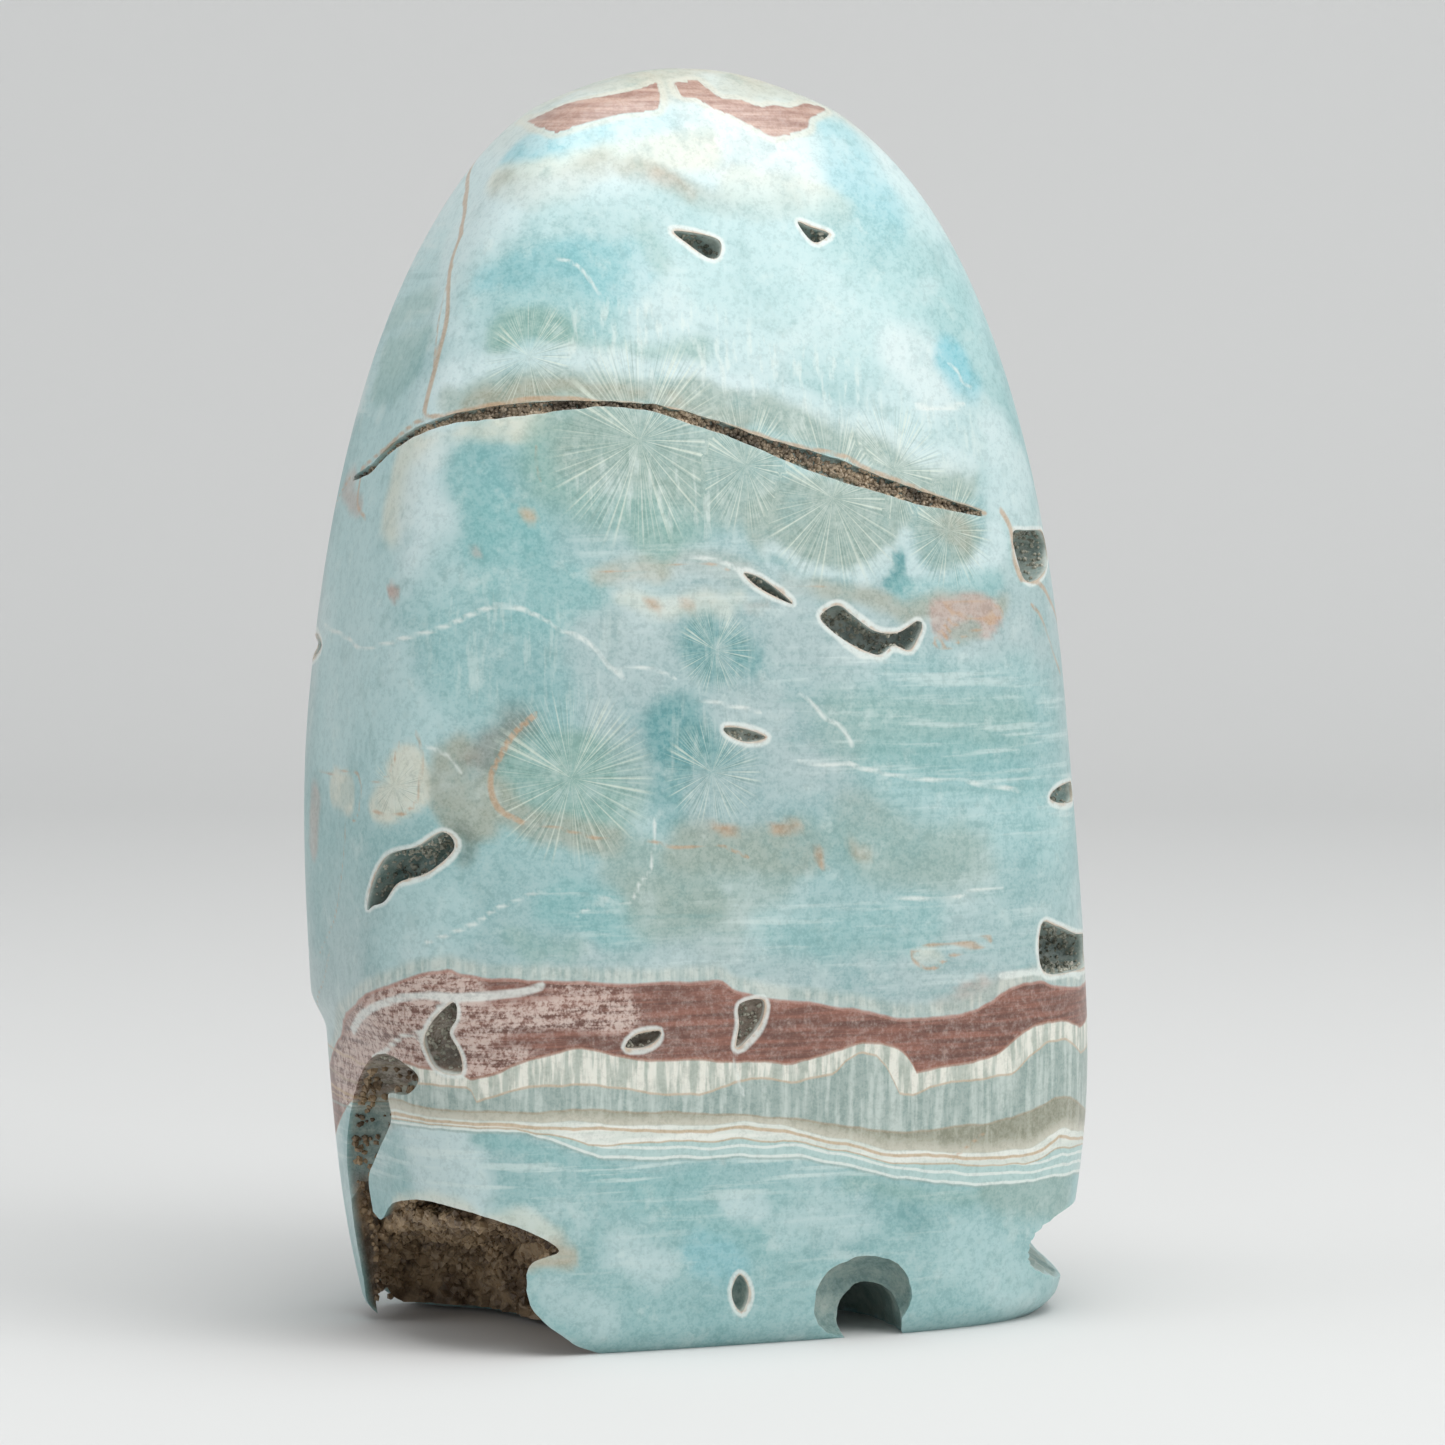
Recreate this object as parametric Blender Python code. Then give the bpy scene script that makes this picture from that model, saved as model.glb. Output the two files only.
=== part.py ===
"""Blue calcite freeform: one polished block of banded blue calcite with a domed top and a sawn base.

The broad front face looks towards -Y and the block stands on its base at z = 0. Lengths below are in
millimetres, and MM turns them into metres. A place on the block's side is given by two face coordinates:
u runs round the block at its widest section, from 0 at the middle of the front, to the right when it
grows, and z is the height.
"""
import math

import bmesh
import bpy
import numpy as np
from mathutils import Matrix, Vector, noise

MM = 0.001

# The polished block
HEIGHT = 112.0
HALF_WIDTH = 34.7
HALF_DEPTH = 21.0
WAIST = 29.0
DOME_RISE = HEIGHT - WAIST
DOME_POWER = 2.4
SKIRT_FALL = 60.0
SKIRT_POWER = 2.2
CORNER_FRONT_LEFT = 4.4
CORNER_FRONT_RIGHT = 3.3
CORNER_BACK = 3.0
LEAN_TO_RIGHT = 1.6
LEAN_SPAN = (15.0, 55.0)
TOP_LEAN_TO_LEFT = 0.5
TOP_LEAN_SPAN = (97.0, 112.0)
CENTRE_X = -0.93
LEFT_STEP = 1.3
LEFT_STEP_SPAN = (26.0, 30.0)
CROWN_TAPER = 0.15
CROWN_SPAN = (108.0, 112.0)
FOOT_HEIGHT = 2.2
FOOT_INSET = 0.045
SECTION_STEPS = 1440

# How finely the block is divided: columns round it, rings across its base, its foot and its side
COLUMNS = 64
BASE_RINGS = 3
FOOT_RINGS = 3
SIDE_RINGS = 32

# The hollow in the base, open at the front left corner
CAVE_HEART = Vector((-24.0, 0.0, 4.0))
CAVE_CENTRE = (-25.5, -12.0, 0.0)
CAVE_RADII = (12.0, 26.0, 12.8)
CAVE_POWER = 2.3
CAVE_REACH = 40.0
CAVE_DETAIL = 4
CAVE_ROUGHNESS = 0.9
SIDE_WALL_X = -28.5
FRONT_WALL_Y = -15.0

# The crystals that line that hollow
DRUSE_GAP = 0.5
DRUSE_THICKNESS = (0.9, 2.6)
DRUSE_SETBACK = 1.6
DRUSE_FLOOR = 0.6

# The other hollows: centre, radii, turn about the upright in degrees, and roughness
BLOB_DETAIL = 3
BLOBS = {
    "arch_niche": ((8.0, -19.0, 3.6), (4.7, 3.4, 4.0), 0.0, 0.25),
    "arch_tunnel": ((10.2, -13.5, 0.2), (3.2, 10.0, 4.4), -8.0, 0.5),
    "foot_notch": ((40.3, -16.3, 6.4), (14.0, 60.0, 4.9), -22.0, 0.5),
}

# Openings that wrap round the front left corner: outline, depth, size of the floor, and how far outside
# the skin the cut starts
MOUTHS = {
    "cave_mouth": (
        ((-53.6, -1.5), (-54.4, 5.0), (-53.0, 12.4), (-47.4, 11.2), (-45.0, 10.8), (-41.7, 12.6), (-38.0, 13.4),
         (-35.1, 13.6), (-31.8, 13.1), (-28.8, 12.3), (-25.9, 11.3), (-22.9, 9.5), (-25.6, 8.4), (-26.3, 6.4),
         (-26.0, 4.4), (-24.6, 2.8), (-22.6, 1.1), (-21.5, -1.5)), 9.0, 0.86, 15.0),
    "corner_scoop": (
        ((-35.4, 24.6), (-36.8, 22.8), (-40.3, 22.4), (-40.2, 20.0), (-44.6, 16.4), (-47.4, 14.0),
         (-47.6, 10.0), (-53.0, 10.0), (-53.4, 15.0), (-50.5, 20.0), (-45.5, 24.4), (-40.0, 26.0)), 4.6, 0.5, 6.0),
}

# Pits: outline in face coordinates, depth, and the size of the floor against the mouth
PITS = {
    "crescent_vug": (
        ((-39.6, 38.7), (-38.3, 41.3), (-36.0, 43.6), (-32.8, 44.5), (-30.4, 45.8), (-29.4, 44.4),
         (-31.8, 42.3), (-34.8, 41.3), (-36.6, 39.6), (-38.3, 39.1)), 3.8, 0.5),
    "long_vug": (
        ((4.9, 63.8), (6.7, 64.7), (8.3, 63.7), (10.3, 62.4), (12.6, 62.2), (14.8, 63.2), (15.2, 62.6),
         (13.8, 60.7), (12.1, 61.1), (10.5, 60.3), (7.8, 61.3), (5.8, 62.6)), 2.8, 0.5),
    "thin_slit": (
        ((-2.6, 67.6), (-1.0, 67.2), (0.9, 66.0), (2.1, 64.9), (0.3, 65.6), (-1.4, 66.5)), 1.4, 0.4),
    "crown_vug_left": (
        ((-10.1, 97.2), (-5.9, 96.9), (-3.7, 96.3), (-4.0, 95.0), (-5.5, 94.9), (-8.0, 96.0)), 2.2, 0.5),
    "crown_vug_right": (
        ((7.8, 98.1), (9.5, 97.7), (11.9, 97.1), (9.8, 96.3), (8.6, 96.8)), 1.6, 0.4),
    "shoulder_vug": (
        ((27.5, 70.7), (30.1, 70.9), (34.5, 70.6), (36.0, 69.0), (33.0, 67.2), (28.8, 66.3), (27.6, 68.0)),
        3.4, 0.55),
    "band_corner_vug": (
        ((26.4, 35.9), (28.6, 35.6), (32.2, 34.6), (36.5, 34.0), (36.8, 31.6), (31.0, 31.3), (26.2, 31.8)),
        4.2, 0.55),
    "edge_pit": (
        ((29.0, 47.0), (30.6, 47.9), (34.6, 48.1), (35.0, 46.6), (31.4, 46.4)), 1.6, 0.45),
    "band_slot": (
        ((-15.7, 27.0), (-14.6, 28.0), (-12.2, 28.3), (-12.6, 27.5), (-14.0, 26.9)), 1.6, 0.45),
    "band_crack": (
        ((-4.5, 30.3), (-2.3, 30.6), (-2.5, 28.8), (-3.9, 27.3), (-5.2, 26.5), (-4.7, 28.5)), 1.3, 0.4),
    "band_split": (
        ((-30.1, 31.2), (-29.9, 29.8), (-30.9, 28.5), (-30.8, 27.0), (-30.9, 25.0), (-33.2, 25.2),
         (-34.0, 27.2), (-32.4, 29.2)), 2.4, 0.35),
    "base_pit": (
        ((-5.0, 6.5), (-4.1, 5.4), (-4.1, 4.2), (-4.7, 3.1), (-5.5, 3.9), (-5.8, 5.2)), 1.5, 0.45),
    "lens_pit": (((-4.8, 54.3), (-2.9, 54.2), (-0.8, 53.4), (-2.5, 53.0), (-4.3, 53.6)), 0.9, 0.4),
    "back_long_vug": (
        ((81.0, 66.0), (86.0, 67.6), (91.5, 67.0), (95.5, 65.2), (91.0, 63.8), (85.0, 63.6)), 2.8, 0.5),
    "back_low_vug": (((-79.0, 40.5), (-74.5, 42.0), (-70.5, 40.6), (-73.0, 38.6), (-77.5, 38.4)), 2.4, 0.5),
    "back_crown_slit": (((68.0, 88.4), (74.0, 89.6), (79.0, 88.6), (73.0, 87.6)), 1.5, 0.4),
    "right_side_vug": (((50.0, 54.0), (52.5, 56.6), (55.6, 55.4), (56.0, 52.6), (52.0, 51.6)), 2.4, 0.5),
    "left_side_slit": (((-62.0, 60.6), (-57.5, 61.8), (-54.0, 60.8), (-58.0, 59.4)), 1.6, 0.4),
}
PIT_LIFT = 1.6
PIT_SHAFT = 0.45

# The open seam that crosses the front: u, height of its middle, height of its mouth
SEAM = (
    (-52.0, 75.6, 0.5), (-47.0, 76.6, 0.9), (-43.0, 78.2, 0.9), (-38.0, 79.8, 0.8), (-33.0, 81.0, 0.9),
    (-28.0, 81.6, 1.2), (-22.0, 82.1, 0.9), (-17.0, 82.3, 0.4), (-12.0, 81.9, 0.6), (-8.0, 81.0, 1.0),
    (-4.0, 80.0, 1.0), (0.0, 78.7, 1.2), (4.0, 77.5, 1.8), (8.0, 76.4, 2.0), (12.0, 75.2, 1.5),
    (16.0, 74.1, 1.4), (20.0, 73.2, 0.9), (24.0, 72.4, 0.5),
)
SEAM_DEPTH = 1.0

STONE_COLOUR = (0.36, 0.62, 0.61, 1.0)
DRUSE_COLOUR = (0.38, 0.28, 0.19, 1.0)


def ramp(value, low, high):
    """Rise smoothly from 0 at low to 1 at high."""
    t = min(max((value - low) / (high - low), 0.0), 1.0)
    return t * t * (3.0 - 2.0 * t)


def girth(z):
    """How wide the block is at height z, as a share of its widest section."""
    if z >= WAIST:
        share = (1.0 - min((z - WAIST) / DOME_RISE, 1.0) ** DOME_POWER) ** (1.0 / DOME_POWER)
    else:
        share = (1.0 - ((WAIST - z) / SKIRT_FALL) ** SKIRT_POWER) ** (1.0 / SKIRT_POWER)
    share *= 1.0 - CROWN_TAPER * ramp(z, *CROWN_SPAN)
    if z < FOOT_HEIGHT:
        share -= FOOT_INSET * (1.0 - max(z, 0.0) / FOOT_HEIGHT) ** 2
    return max(share, 1e-4)


def middle(z):
    """The x of the block's axis at height z."""
    lean = LEAN_TO_RIGHT * (1.0 - ramp(z, *LEAN_SPAN))
    return CENTRE_X + lean - TOP_LEAN_TO_LEFT * ramp(z, *TOP_LEAN_SPAN)


def left_half(z):
    """The half width to the left of the axis, which steps in where the lower left has broken away."""
    return HALF_WIDTH * girth(z) - LEFT_STEP * (1.0 - ramp(z, *LEFT_STEP_SPAN))


def corner_power(dx, dy):
    """The superellipse power of the quarter that an offset from the axis is in."""
    if dy > 0.0:
        return CORNER_BACK
    return CORNER_FRONT_LEFT if dx < 0.0 else CORNER_FRONT_RIGHT


def section_point(angle):
    """A point of the widest section, centred, at an angle in the section's own stretched frame."""
    c, s = math.cos(angle), math.sin(angle)
    power = corner_power(c, s)
    r = (abs(c) ** power + abs(s) ** power) ** (-1.0 / power)
    return r * c, r * s


def section_table():
    """Angles round the widest section and the distance walked along it from the middle of the front."""
    angles = [-math.pi * 1.5 + 2.0 * math.pi * i / SECTION_STEPS for i in range(SECTION_STEPS + 1)]
    walked = [0.0]
    last = section_point(angles[0])
    for angle in angles[1:]:
        here = section_point(angle)
        walked.append(walked[-1] + math.hypot((here[0] - last[0]) * HALF_WIDTH, (here[1] - last[1]) * HALF_DEPTH))
        last = here
    front = float(np.interp(-math.pi / 2.0, angles, walked))
    return angles, [length - front for length in walked]


ANGLES, WALKED = section_table()
GIRTH_LENGTH = WALKED[-1] - WALKED[0]


def skin_point(u, z):
    """The point of the block's skin at face coordinates u, z."""
    around = (u - WALKED[0]) % GIRTH_LENGTH + WALKED[0]
    c, s = section_point(float(np.interp(around, WALKED, ANGLES)))
    half = left_half(z) if c < 0.0 else HALF_WIDTH * girth(z)
    return Vector((middle(z) + half * c, HALF_DEPTH * girth(z) * s, z))


def skin_normal(u, z):
    """The outward normal of the skin at face coordinates u, z."""
    across = skin_point(u + 0.4, z) - skin_point(u - 0.4, z)
    upward = skin_point(u, z + 0.4) - skin_point(u, z - 0.4)
    return across.cross(upward).normalized()


def surface_distance(field, start, direction, reach):
    """How far from start the field first turns positive along a direction."""
    steps = 60
    low = 0.0
    for i in range(1, steps + 1):
        high = reach * i / steps
        if field(start + direction * high) > 0.0:
            break
        low = high
    for _ in range(18):
        half = (low + high) / 2.0
        if field(start + direction * half) > 0.0:
            high = half
        else:
            low = half
    return low


def side_heights():
    """Heights of the rings up the side, an equal walk apart, above the rounded foot."""
    share = np.sin(np.linspace(0.0, math.pi / 2.0, SECTION_STEPS))
    heights = FOOT_HEIGHT + (HEIGHT - FOOT_HEIGHT) * share
    widths = np.array([girth(z) for z in heights]) * (HALF_WIDTH + HALF_DEPTH) / 2.0
    walk = np.concatenate(([0.0], np.cumsum(np.hypot(np.diff(heights), np.diff(widths)))))
    return np.interp(np.linspace(0.0, walk[-1], SIDE_RINGS + 1), walk, heights)


def ball(detail):
    """A bmesh sphere of radius 1 made of near equal triangles."""
    bm = bmesh.new()
    bmesh.ops.create_icosphere(bm, subdivisions=detail, radius=1.0)
    return bm


def lumps(place, size):
    """Soft noise, about -1 to 1, with lumps of the given size."""
    return noise.noise(place / size)


def make_object(name, bm, collection):
    """Turn a bmesh in millimetres into an object in metres."""
    bmesh.ops.scale(bm, vec=(MM, MM, MM), verts=bm.verts)
    mesh = bpy.data.meshes.new(name)
    bm.to_mesh(mesh)
    bm.free()
    item = bpy.data.objects.new(name, mesh)
    collection.objects.link(item)
    return item


def make_cutter(name, bm, cutters):
    """Store a bmesh as a cutter that is never shown."""
    bmesh.ops.recalc_face_normals(bm, faces=bm.faces)
    item = make_object(name, bm, cutters)
    item.hide_render = True
    item.display_type = "WIRE"
    return item


def make_block(name, collection, inset=0.0, floor=0.0):
    """The polished block before anything is cut from it, or a copy whose skin lies inset inside it."""
    heights = [floor + FOOT_HEIGHT * i / FOOT_RINGS for i in range(FOOT_RINGS)] + list(side_heights())
    heights = [floor] * BASE_RINGS + heights
    bm = bmesh.new()
    bmesh.ops.create_uvsphere(bm, u_segments=COLUMNS, v_segments=len(heights) - 1, radius=1.0)
    for vert in bm.verts:
        ring = round((math.asin(max(-1.0, min(1.0, vert.co.z))) / math.pi + 0.5) * (len(heights) - 1))
        z = min(heights[ring], HEIGHT - inset)
        u = (math.atan2(vert.co.y, vert.co.x) / math.tau + 0.25) * GIRTH_LENGTH
        axis = Vector((middle(z), 0.0, z))
        outward = skin_point(u, z) - axis
        reach = max(outward.length - inset, 0.0) * min(ring / BASE_RINGS, 1.0)
        vert.co = axis + outward.normalized() * reach
    bmesh.ops.remove_doubles(bm, verts=bm.verts, dist=0.01)
    bmesh.ops.recalc_face_normals(bm, faces=bm.faces)
    return make_object(name, bm, collection)


def vault_field(place):
    """Below 0 under the rough vault of the base hollow, which comes down to the base at the back."""
    vault = sum((abs(v - c) / r) ** CAVE_POWER for v, c, r in zip(place, CAVE_CENTRE, CAVE_RADII))
    vault = (vault ** (1.0 / CAVE_POWER) - 1.0) * min(CAVE_RADII)
    return vault + CAVE_ROUGHNESS * lumps(place, 5.0)


def cave_field(place):
    """Below 0 in the base hollow: the vault, stopped behind the left and the front wall."""
    return max(vault_field(place), SIDE_WALL_X - place.x, FRONT_WALL_Y - place.y)


def cave_ball(field, margin, lining):
    """A ball pushed out to the edge of a field, less a margin and the depth of a lining."""
    bm = ball(CAVE_DETAIL)
    for vert in bm.verts:
        direction = vert.co.normalized()
        reach = surface_distance(lambda place: field(place) + margin, CAVE_HEART, direction, CAVE_REACH)
        vert.co = CAVE_HEART + direction * (reach - lining(direction))
    return bm


def druse_thickness(direction):
    """The depth of the crystals in one direction, from thin skin to lump."""
    low, high = DRUSE_THICKNESS
    grain = 0.5 + 0.5 * lumps(direction * 20.0, 2.3) + 0.35 * lumps(direction * 20.0 + Vector((9.0, 4.0, 2.0)), 1.1)
    return low + (high - low) * min(max(grain, 0.0), 1.0)


def make_blob(name, cutters):
    """A rough ellipsoid that cuts one of the smaller hollows."""
    centre, radii, turn, roughness = BLOBS[name]
    bm = ball(BLOB_DETAIL)
    turned = Matrix.Rotation(math.radians(turn), 3, "Z")
    for vert in bm.verts:
        offset = turned @ Vector([v * r for v, r in zip(vert.co, radii)])
        place = Vector(centre) + offset
        vert.co = place + offset.normalized() * roughness * lumps(place, 2.5)
    return make_cutter(name, bm, cutters)


def add_ring(bm, places):
    """Add a closed loop of vertices and edges through some places."""
    verts = [bm.verts.new(place) for place in places]
    return [bm.edges.new((verts[i - 1], verts[i])) for i in range(len(verts))]


def loft(rings):
    """A closed solid through rings of as many points each."""
    bm = bmesh.new()
    loops = [add_ring(bm, ring) for ring in rings]
    for lower, upper in zip(loops, loops[1:]):
        bmesh.ops.bridge_loops(bm, edges=lower + upper)
    for loop in (loops[0], loops[-1]):
        bmesh.ops.contextual_create(bm, geom=loop)
    bmesh.ops.triangulate(bm, faces=bm.faces)
    return bm


def make_pit(name, outline, depth, floor, lift, cutters):
    """A pit with the outline's mouth, steep sides and a smaller floor."""
    mean_u = sum(u for u, z in outline) / len(outline)
    mean_z = sum(z for u, z in outline) / len(outline)
    inward = -skin_normal(mean_u, mean_z)
    mouth = [skin_point(u, z) for u, z in outline]
    centre = skin_point(mean_u, mean_z)
    rings = []
    for scale, sink in ((1.0, -lift), (1.0, PIT_SHAFT * depth), (floor, depth)):
        rings.append([centre + (place - centre) * scale + inward * sink for place in mouth])
    return make_cutter(name, loft(rings), cutters)


def make_seam(cutters):
    """A shallow groove along the seam, from outside the skin to its floor."""
    rings = []
    for u, z, mouth in SEAM:
        outward = skin_normal(u, z)
        top = skin_point(u, z + mouth / 2.0)
        bottom = skin_point(u, z - mouth / 2.0)
        rings.append([top + outward, bottom + outward, bottom - outward * SEAM_DEPTH, top - outward * SEAM_DEPTH])
    return make_cutter("open_seam", loft(rings), cutters)


def cut(item, cutter, operation="DIFFERENCE"):
    """Cut an object with another one."""
    modifier = item.modifiers.new(cutter.name, "BOOLEAN")
    modifier.operation = operation
    modifier.object = cutter
    modifier.solver = "EXACT"


def make_druse(collection, cutters):
    """The crust of crystals: a thin lumpy lining of the base hollow that stops short of the skin."""
    lining = cave_ball(cave_field, DRUSE_GAP, lambda direction: 0.0)
    bmesh.ops.recalc_face_normals(lining, faces=lining.faces)
    druse = make_object("hollow_druse", lining, collection)
    cut(druse, make_cutter("druse_inside", cave_ball(vault_field, DRUSE_GAP, druse_thickness), cutters))
    mould = make_block("druse_mould", cutters, DRUSE_SETBACK, DRUSE_FLOOR)
    mould.hide_render = True
    mould.display_type = "WIRE"
    cut(druse, mould, "INTERSECT")
    return druse


def make_material(name, colour, roughness):
    """A plain material with a colour and a roughness."""
    material = bpy.data.materials.new(name)
    material.use_nodes = True
    shader = material.node_tree.nodes["Principled BSDF"]
    shader.inputs["Base Color"].default_value = colour
    shader.inputs["Roughness"].default_value = roughness
    shader.inputs["Metallic"].default_value = 0.0
    return material


def new_collection(name):
    """A collection in the scene."""
    collection = bpy.data.collections.new(name)
    bpy.context.scene.collection.children.link(collection)
    return collection


def main():
    for item in list(bpy.data.objects):
        bpy.data.objects.remove(item, do_unlink=True)
    parts = new_collection("blue_calcite_freeform")
    cutters = new_collection("cutters")
    body = make_block("calcite_body", parts)
    body.data.materials.append(make_material("polished calcite", STONE_COLOUR, 0.3))
    cut(body, make_cutter("base_hollow", cave_ball(cave_field, 0.0, lambda direction: 0.0), cutters))
    for name in BLOBS:
        cut(body, make_blob(name, cutters))
    for name, (outline, depth, floor, lift) in MOUTHS.items():
        cut(body, make_pit(name, outline, depth, floor, lift, cutters))
    for name, (outline, depth, floor) in PITS.items():
        cut(body, make_pit(name, outline, depth, floor, PIT_LIFT, cutters))
    cut(body, make_seam(cutters))
    druse = make_druse(parts, cutters)
    druse.data.materials.append(make_material("brown druse", DRUSE_COLOUR, 0.6))


main()
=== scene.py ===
"""Blue calcite freeform: the polished block, its coloured bands, its broken corner and its crystals.

Lengths here are in millimetres and MM turns them into metres. A place on the block's side has two face
coordinates: u runs round the block at its widest section, from 0 at the middle of the front, to the right
when it grows, and z is the height. Markings on the front are written where the photograph shows them, in
pixels of its 1445 by 1445 frame, and seen() finds their face coordinates through the camera below.
"""
import math
import random

import bmesh
import bpy
import numpy as np
from mathutils import Matrix, Vector, noise


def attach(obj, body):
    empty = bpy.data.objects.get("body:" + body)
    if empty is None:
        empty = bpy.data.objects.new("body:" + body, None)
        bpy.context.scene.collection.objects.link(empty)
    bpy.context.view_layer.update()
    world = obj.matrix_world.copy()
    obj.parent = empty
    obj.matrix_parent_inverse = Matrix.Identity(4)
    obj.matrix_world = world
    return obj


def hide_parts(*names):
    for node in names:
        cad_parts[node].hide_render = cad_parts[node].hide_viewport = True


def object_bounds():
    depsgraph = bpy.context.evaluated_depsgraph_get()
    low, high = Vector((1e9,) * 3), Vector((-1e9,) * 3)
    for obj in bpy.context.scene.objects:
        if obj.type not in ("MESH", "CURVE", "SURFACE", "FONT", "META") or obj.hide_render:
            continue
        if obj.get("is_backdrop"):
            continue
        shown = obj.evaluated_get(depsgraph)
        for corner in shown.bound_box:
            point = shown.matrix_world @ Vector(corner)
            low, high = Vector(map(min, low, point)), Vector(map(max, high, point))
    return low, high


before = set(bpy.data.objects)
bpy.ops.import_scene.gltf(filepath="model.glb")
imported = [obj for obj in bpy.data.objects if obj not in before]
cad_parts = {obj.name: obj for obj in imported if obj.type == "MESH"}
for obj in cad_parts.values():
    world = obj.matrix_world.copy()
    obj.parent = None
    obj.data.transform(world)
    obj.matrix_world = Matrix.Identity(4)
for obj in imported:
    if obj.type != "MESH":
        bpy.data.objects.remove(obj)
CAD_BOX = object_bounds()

MM = 0.001

# The polished block, as in the frame
HEIGHT = 112.0
HALF_WIDTH = 34.7
HALF_DEPTH = 21.0
WAIST = 29.0
DOME_RISE = HEIGHT - WAIST
DOME_POWER = 2.4
SKIRT_FALL = 60.0
SKIRT_POWER = 2.2
CORNER_FRONT_LEFT = 4.4
CORNER_FRONT_RIGHT = 3.3
CORNER_BACK = 3.0
LEAN_TO_RIGHT = 1.6
LEAN_SPAN = (15.0, 55.0)
TOP_LEAN_TO_LEFT = 0.5
TOP_LEAN_SPAN = (97.0, 112.0)
CENTRE_X = -0.93
LEFT_STEP = 1.3
LEFT_STEP_SPAN = (26.0, 30.0)
CROWN_TAPER = 0.15
CROWN_SPAN = (108.0, 112.0)
CROWN_LEVEL = 111.0
FOOT_HEIGHT = 2.2
FOOT_INSET = 0.045
SECTION_STEPS = 2880

# The fine mesh of the block: columns round it, closer together on the front, and rings up it
FRONT_SPAN = (-61.0, 41.0)
FRONT_STEP = 0.43
BACK_STEP = 1.05
BASE_RINGS = 12
FOOT_RINGS = 4
SIDE_STEP = 0.56

# The camera
PICTURE = 1445
AZIMUTH = -22.0
ELEVATION = 3.5
DISTANCE = 520.0
TARGET = Vector((1.35, -2.92, 53.6))
FIELD_OF_VIEW = 14.2

# The hollow in the base, open at the front left corner
CAVE_HEART = Vector((-24.0, 0.0, 4.0))
CAVE_CENTRE = (-25.5, -12.0, 0.0)
CAVE_RADII = (12.0, 26.0, 12.8)
CAVE_POWER = 2.3
CAVE_REACH = 40.0
CAVE_DETAIL = 6
CAVE_ROUGHNESS = 0.9
SIDE_WALL_X = -28.5
FRONT_WALL_Y = -15.0

# The crystals that line that hollow
DRUSE_GAP = 0.5
DRUSE_THICKNESS = (0.9, 2.6)
DRUSE_SETBACK = 1.6
DRUSE_FLOOR = 0.6

# The other hollows: centre, radii, turn about the upright in degrees, and roughness
BLOB_DETAIL = 5
BLOBS = {
    "arch_niche": ((8.0, -19.0, 3.6), (4.7, 3.4, 4.0), 0.0, 0.25),
    "arch_tunnel": ((10.2, -13.5, 0.2), (3.2, 10.0, 4.4), -8.0, 0.5),
    "foot_notch": ((40.3, -16.3, 6.4), (14.0, 60.0, 4.9), -22.0, 0.5),
}

# Openings that wrap round the front left corner: outline, depth, size of the floor, and how far outside
# the skin the cut starts
MOUTHS = {
    "cave_mouth": (
        ((-53.6, -1.5), (-54.4, 5.0), (-53.0, 12.4), (-47.4, 11.2), (-45.0, 10.8), (-41.7, 12.6), (-38.0, 13.4),
         (-35.1, 13.6), (-31.8, 13.1), (-28.8, 12.3), (-25.9, 11.3), (-22.9, 9.5), (-25.6, 8.4), (-26.3, 6.4),
         (-26.0, 4.4), (-24.6, 2.8), (-22.6, 1.1), (-21.5, -1.5)), 9.0, 0.86, 15.0),
    "corner_scoop": (
        ((-35.4, 24.6), (-36.8, 22.8), (-40.3, 22.4), (-40.2, 20.0), (-44.6, 16.4), (-47.4, 14.0),
         (-47.6, 10.0), (-53.0, 10.0), (-53.4, 15.0), (-50.5, 20.0), (-45.5, 24.4), (-40.0, 26.0)), 4.6, 0.5, 6.0),
}

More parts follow.
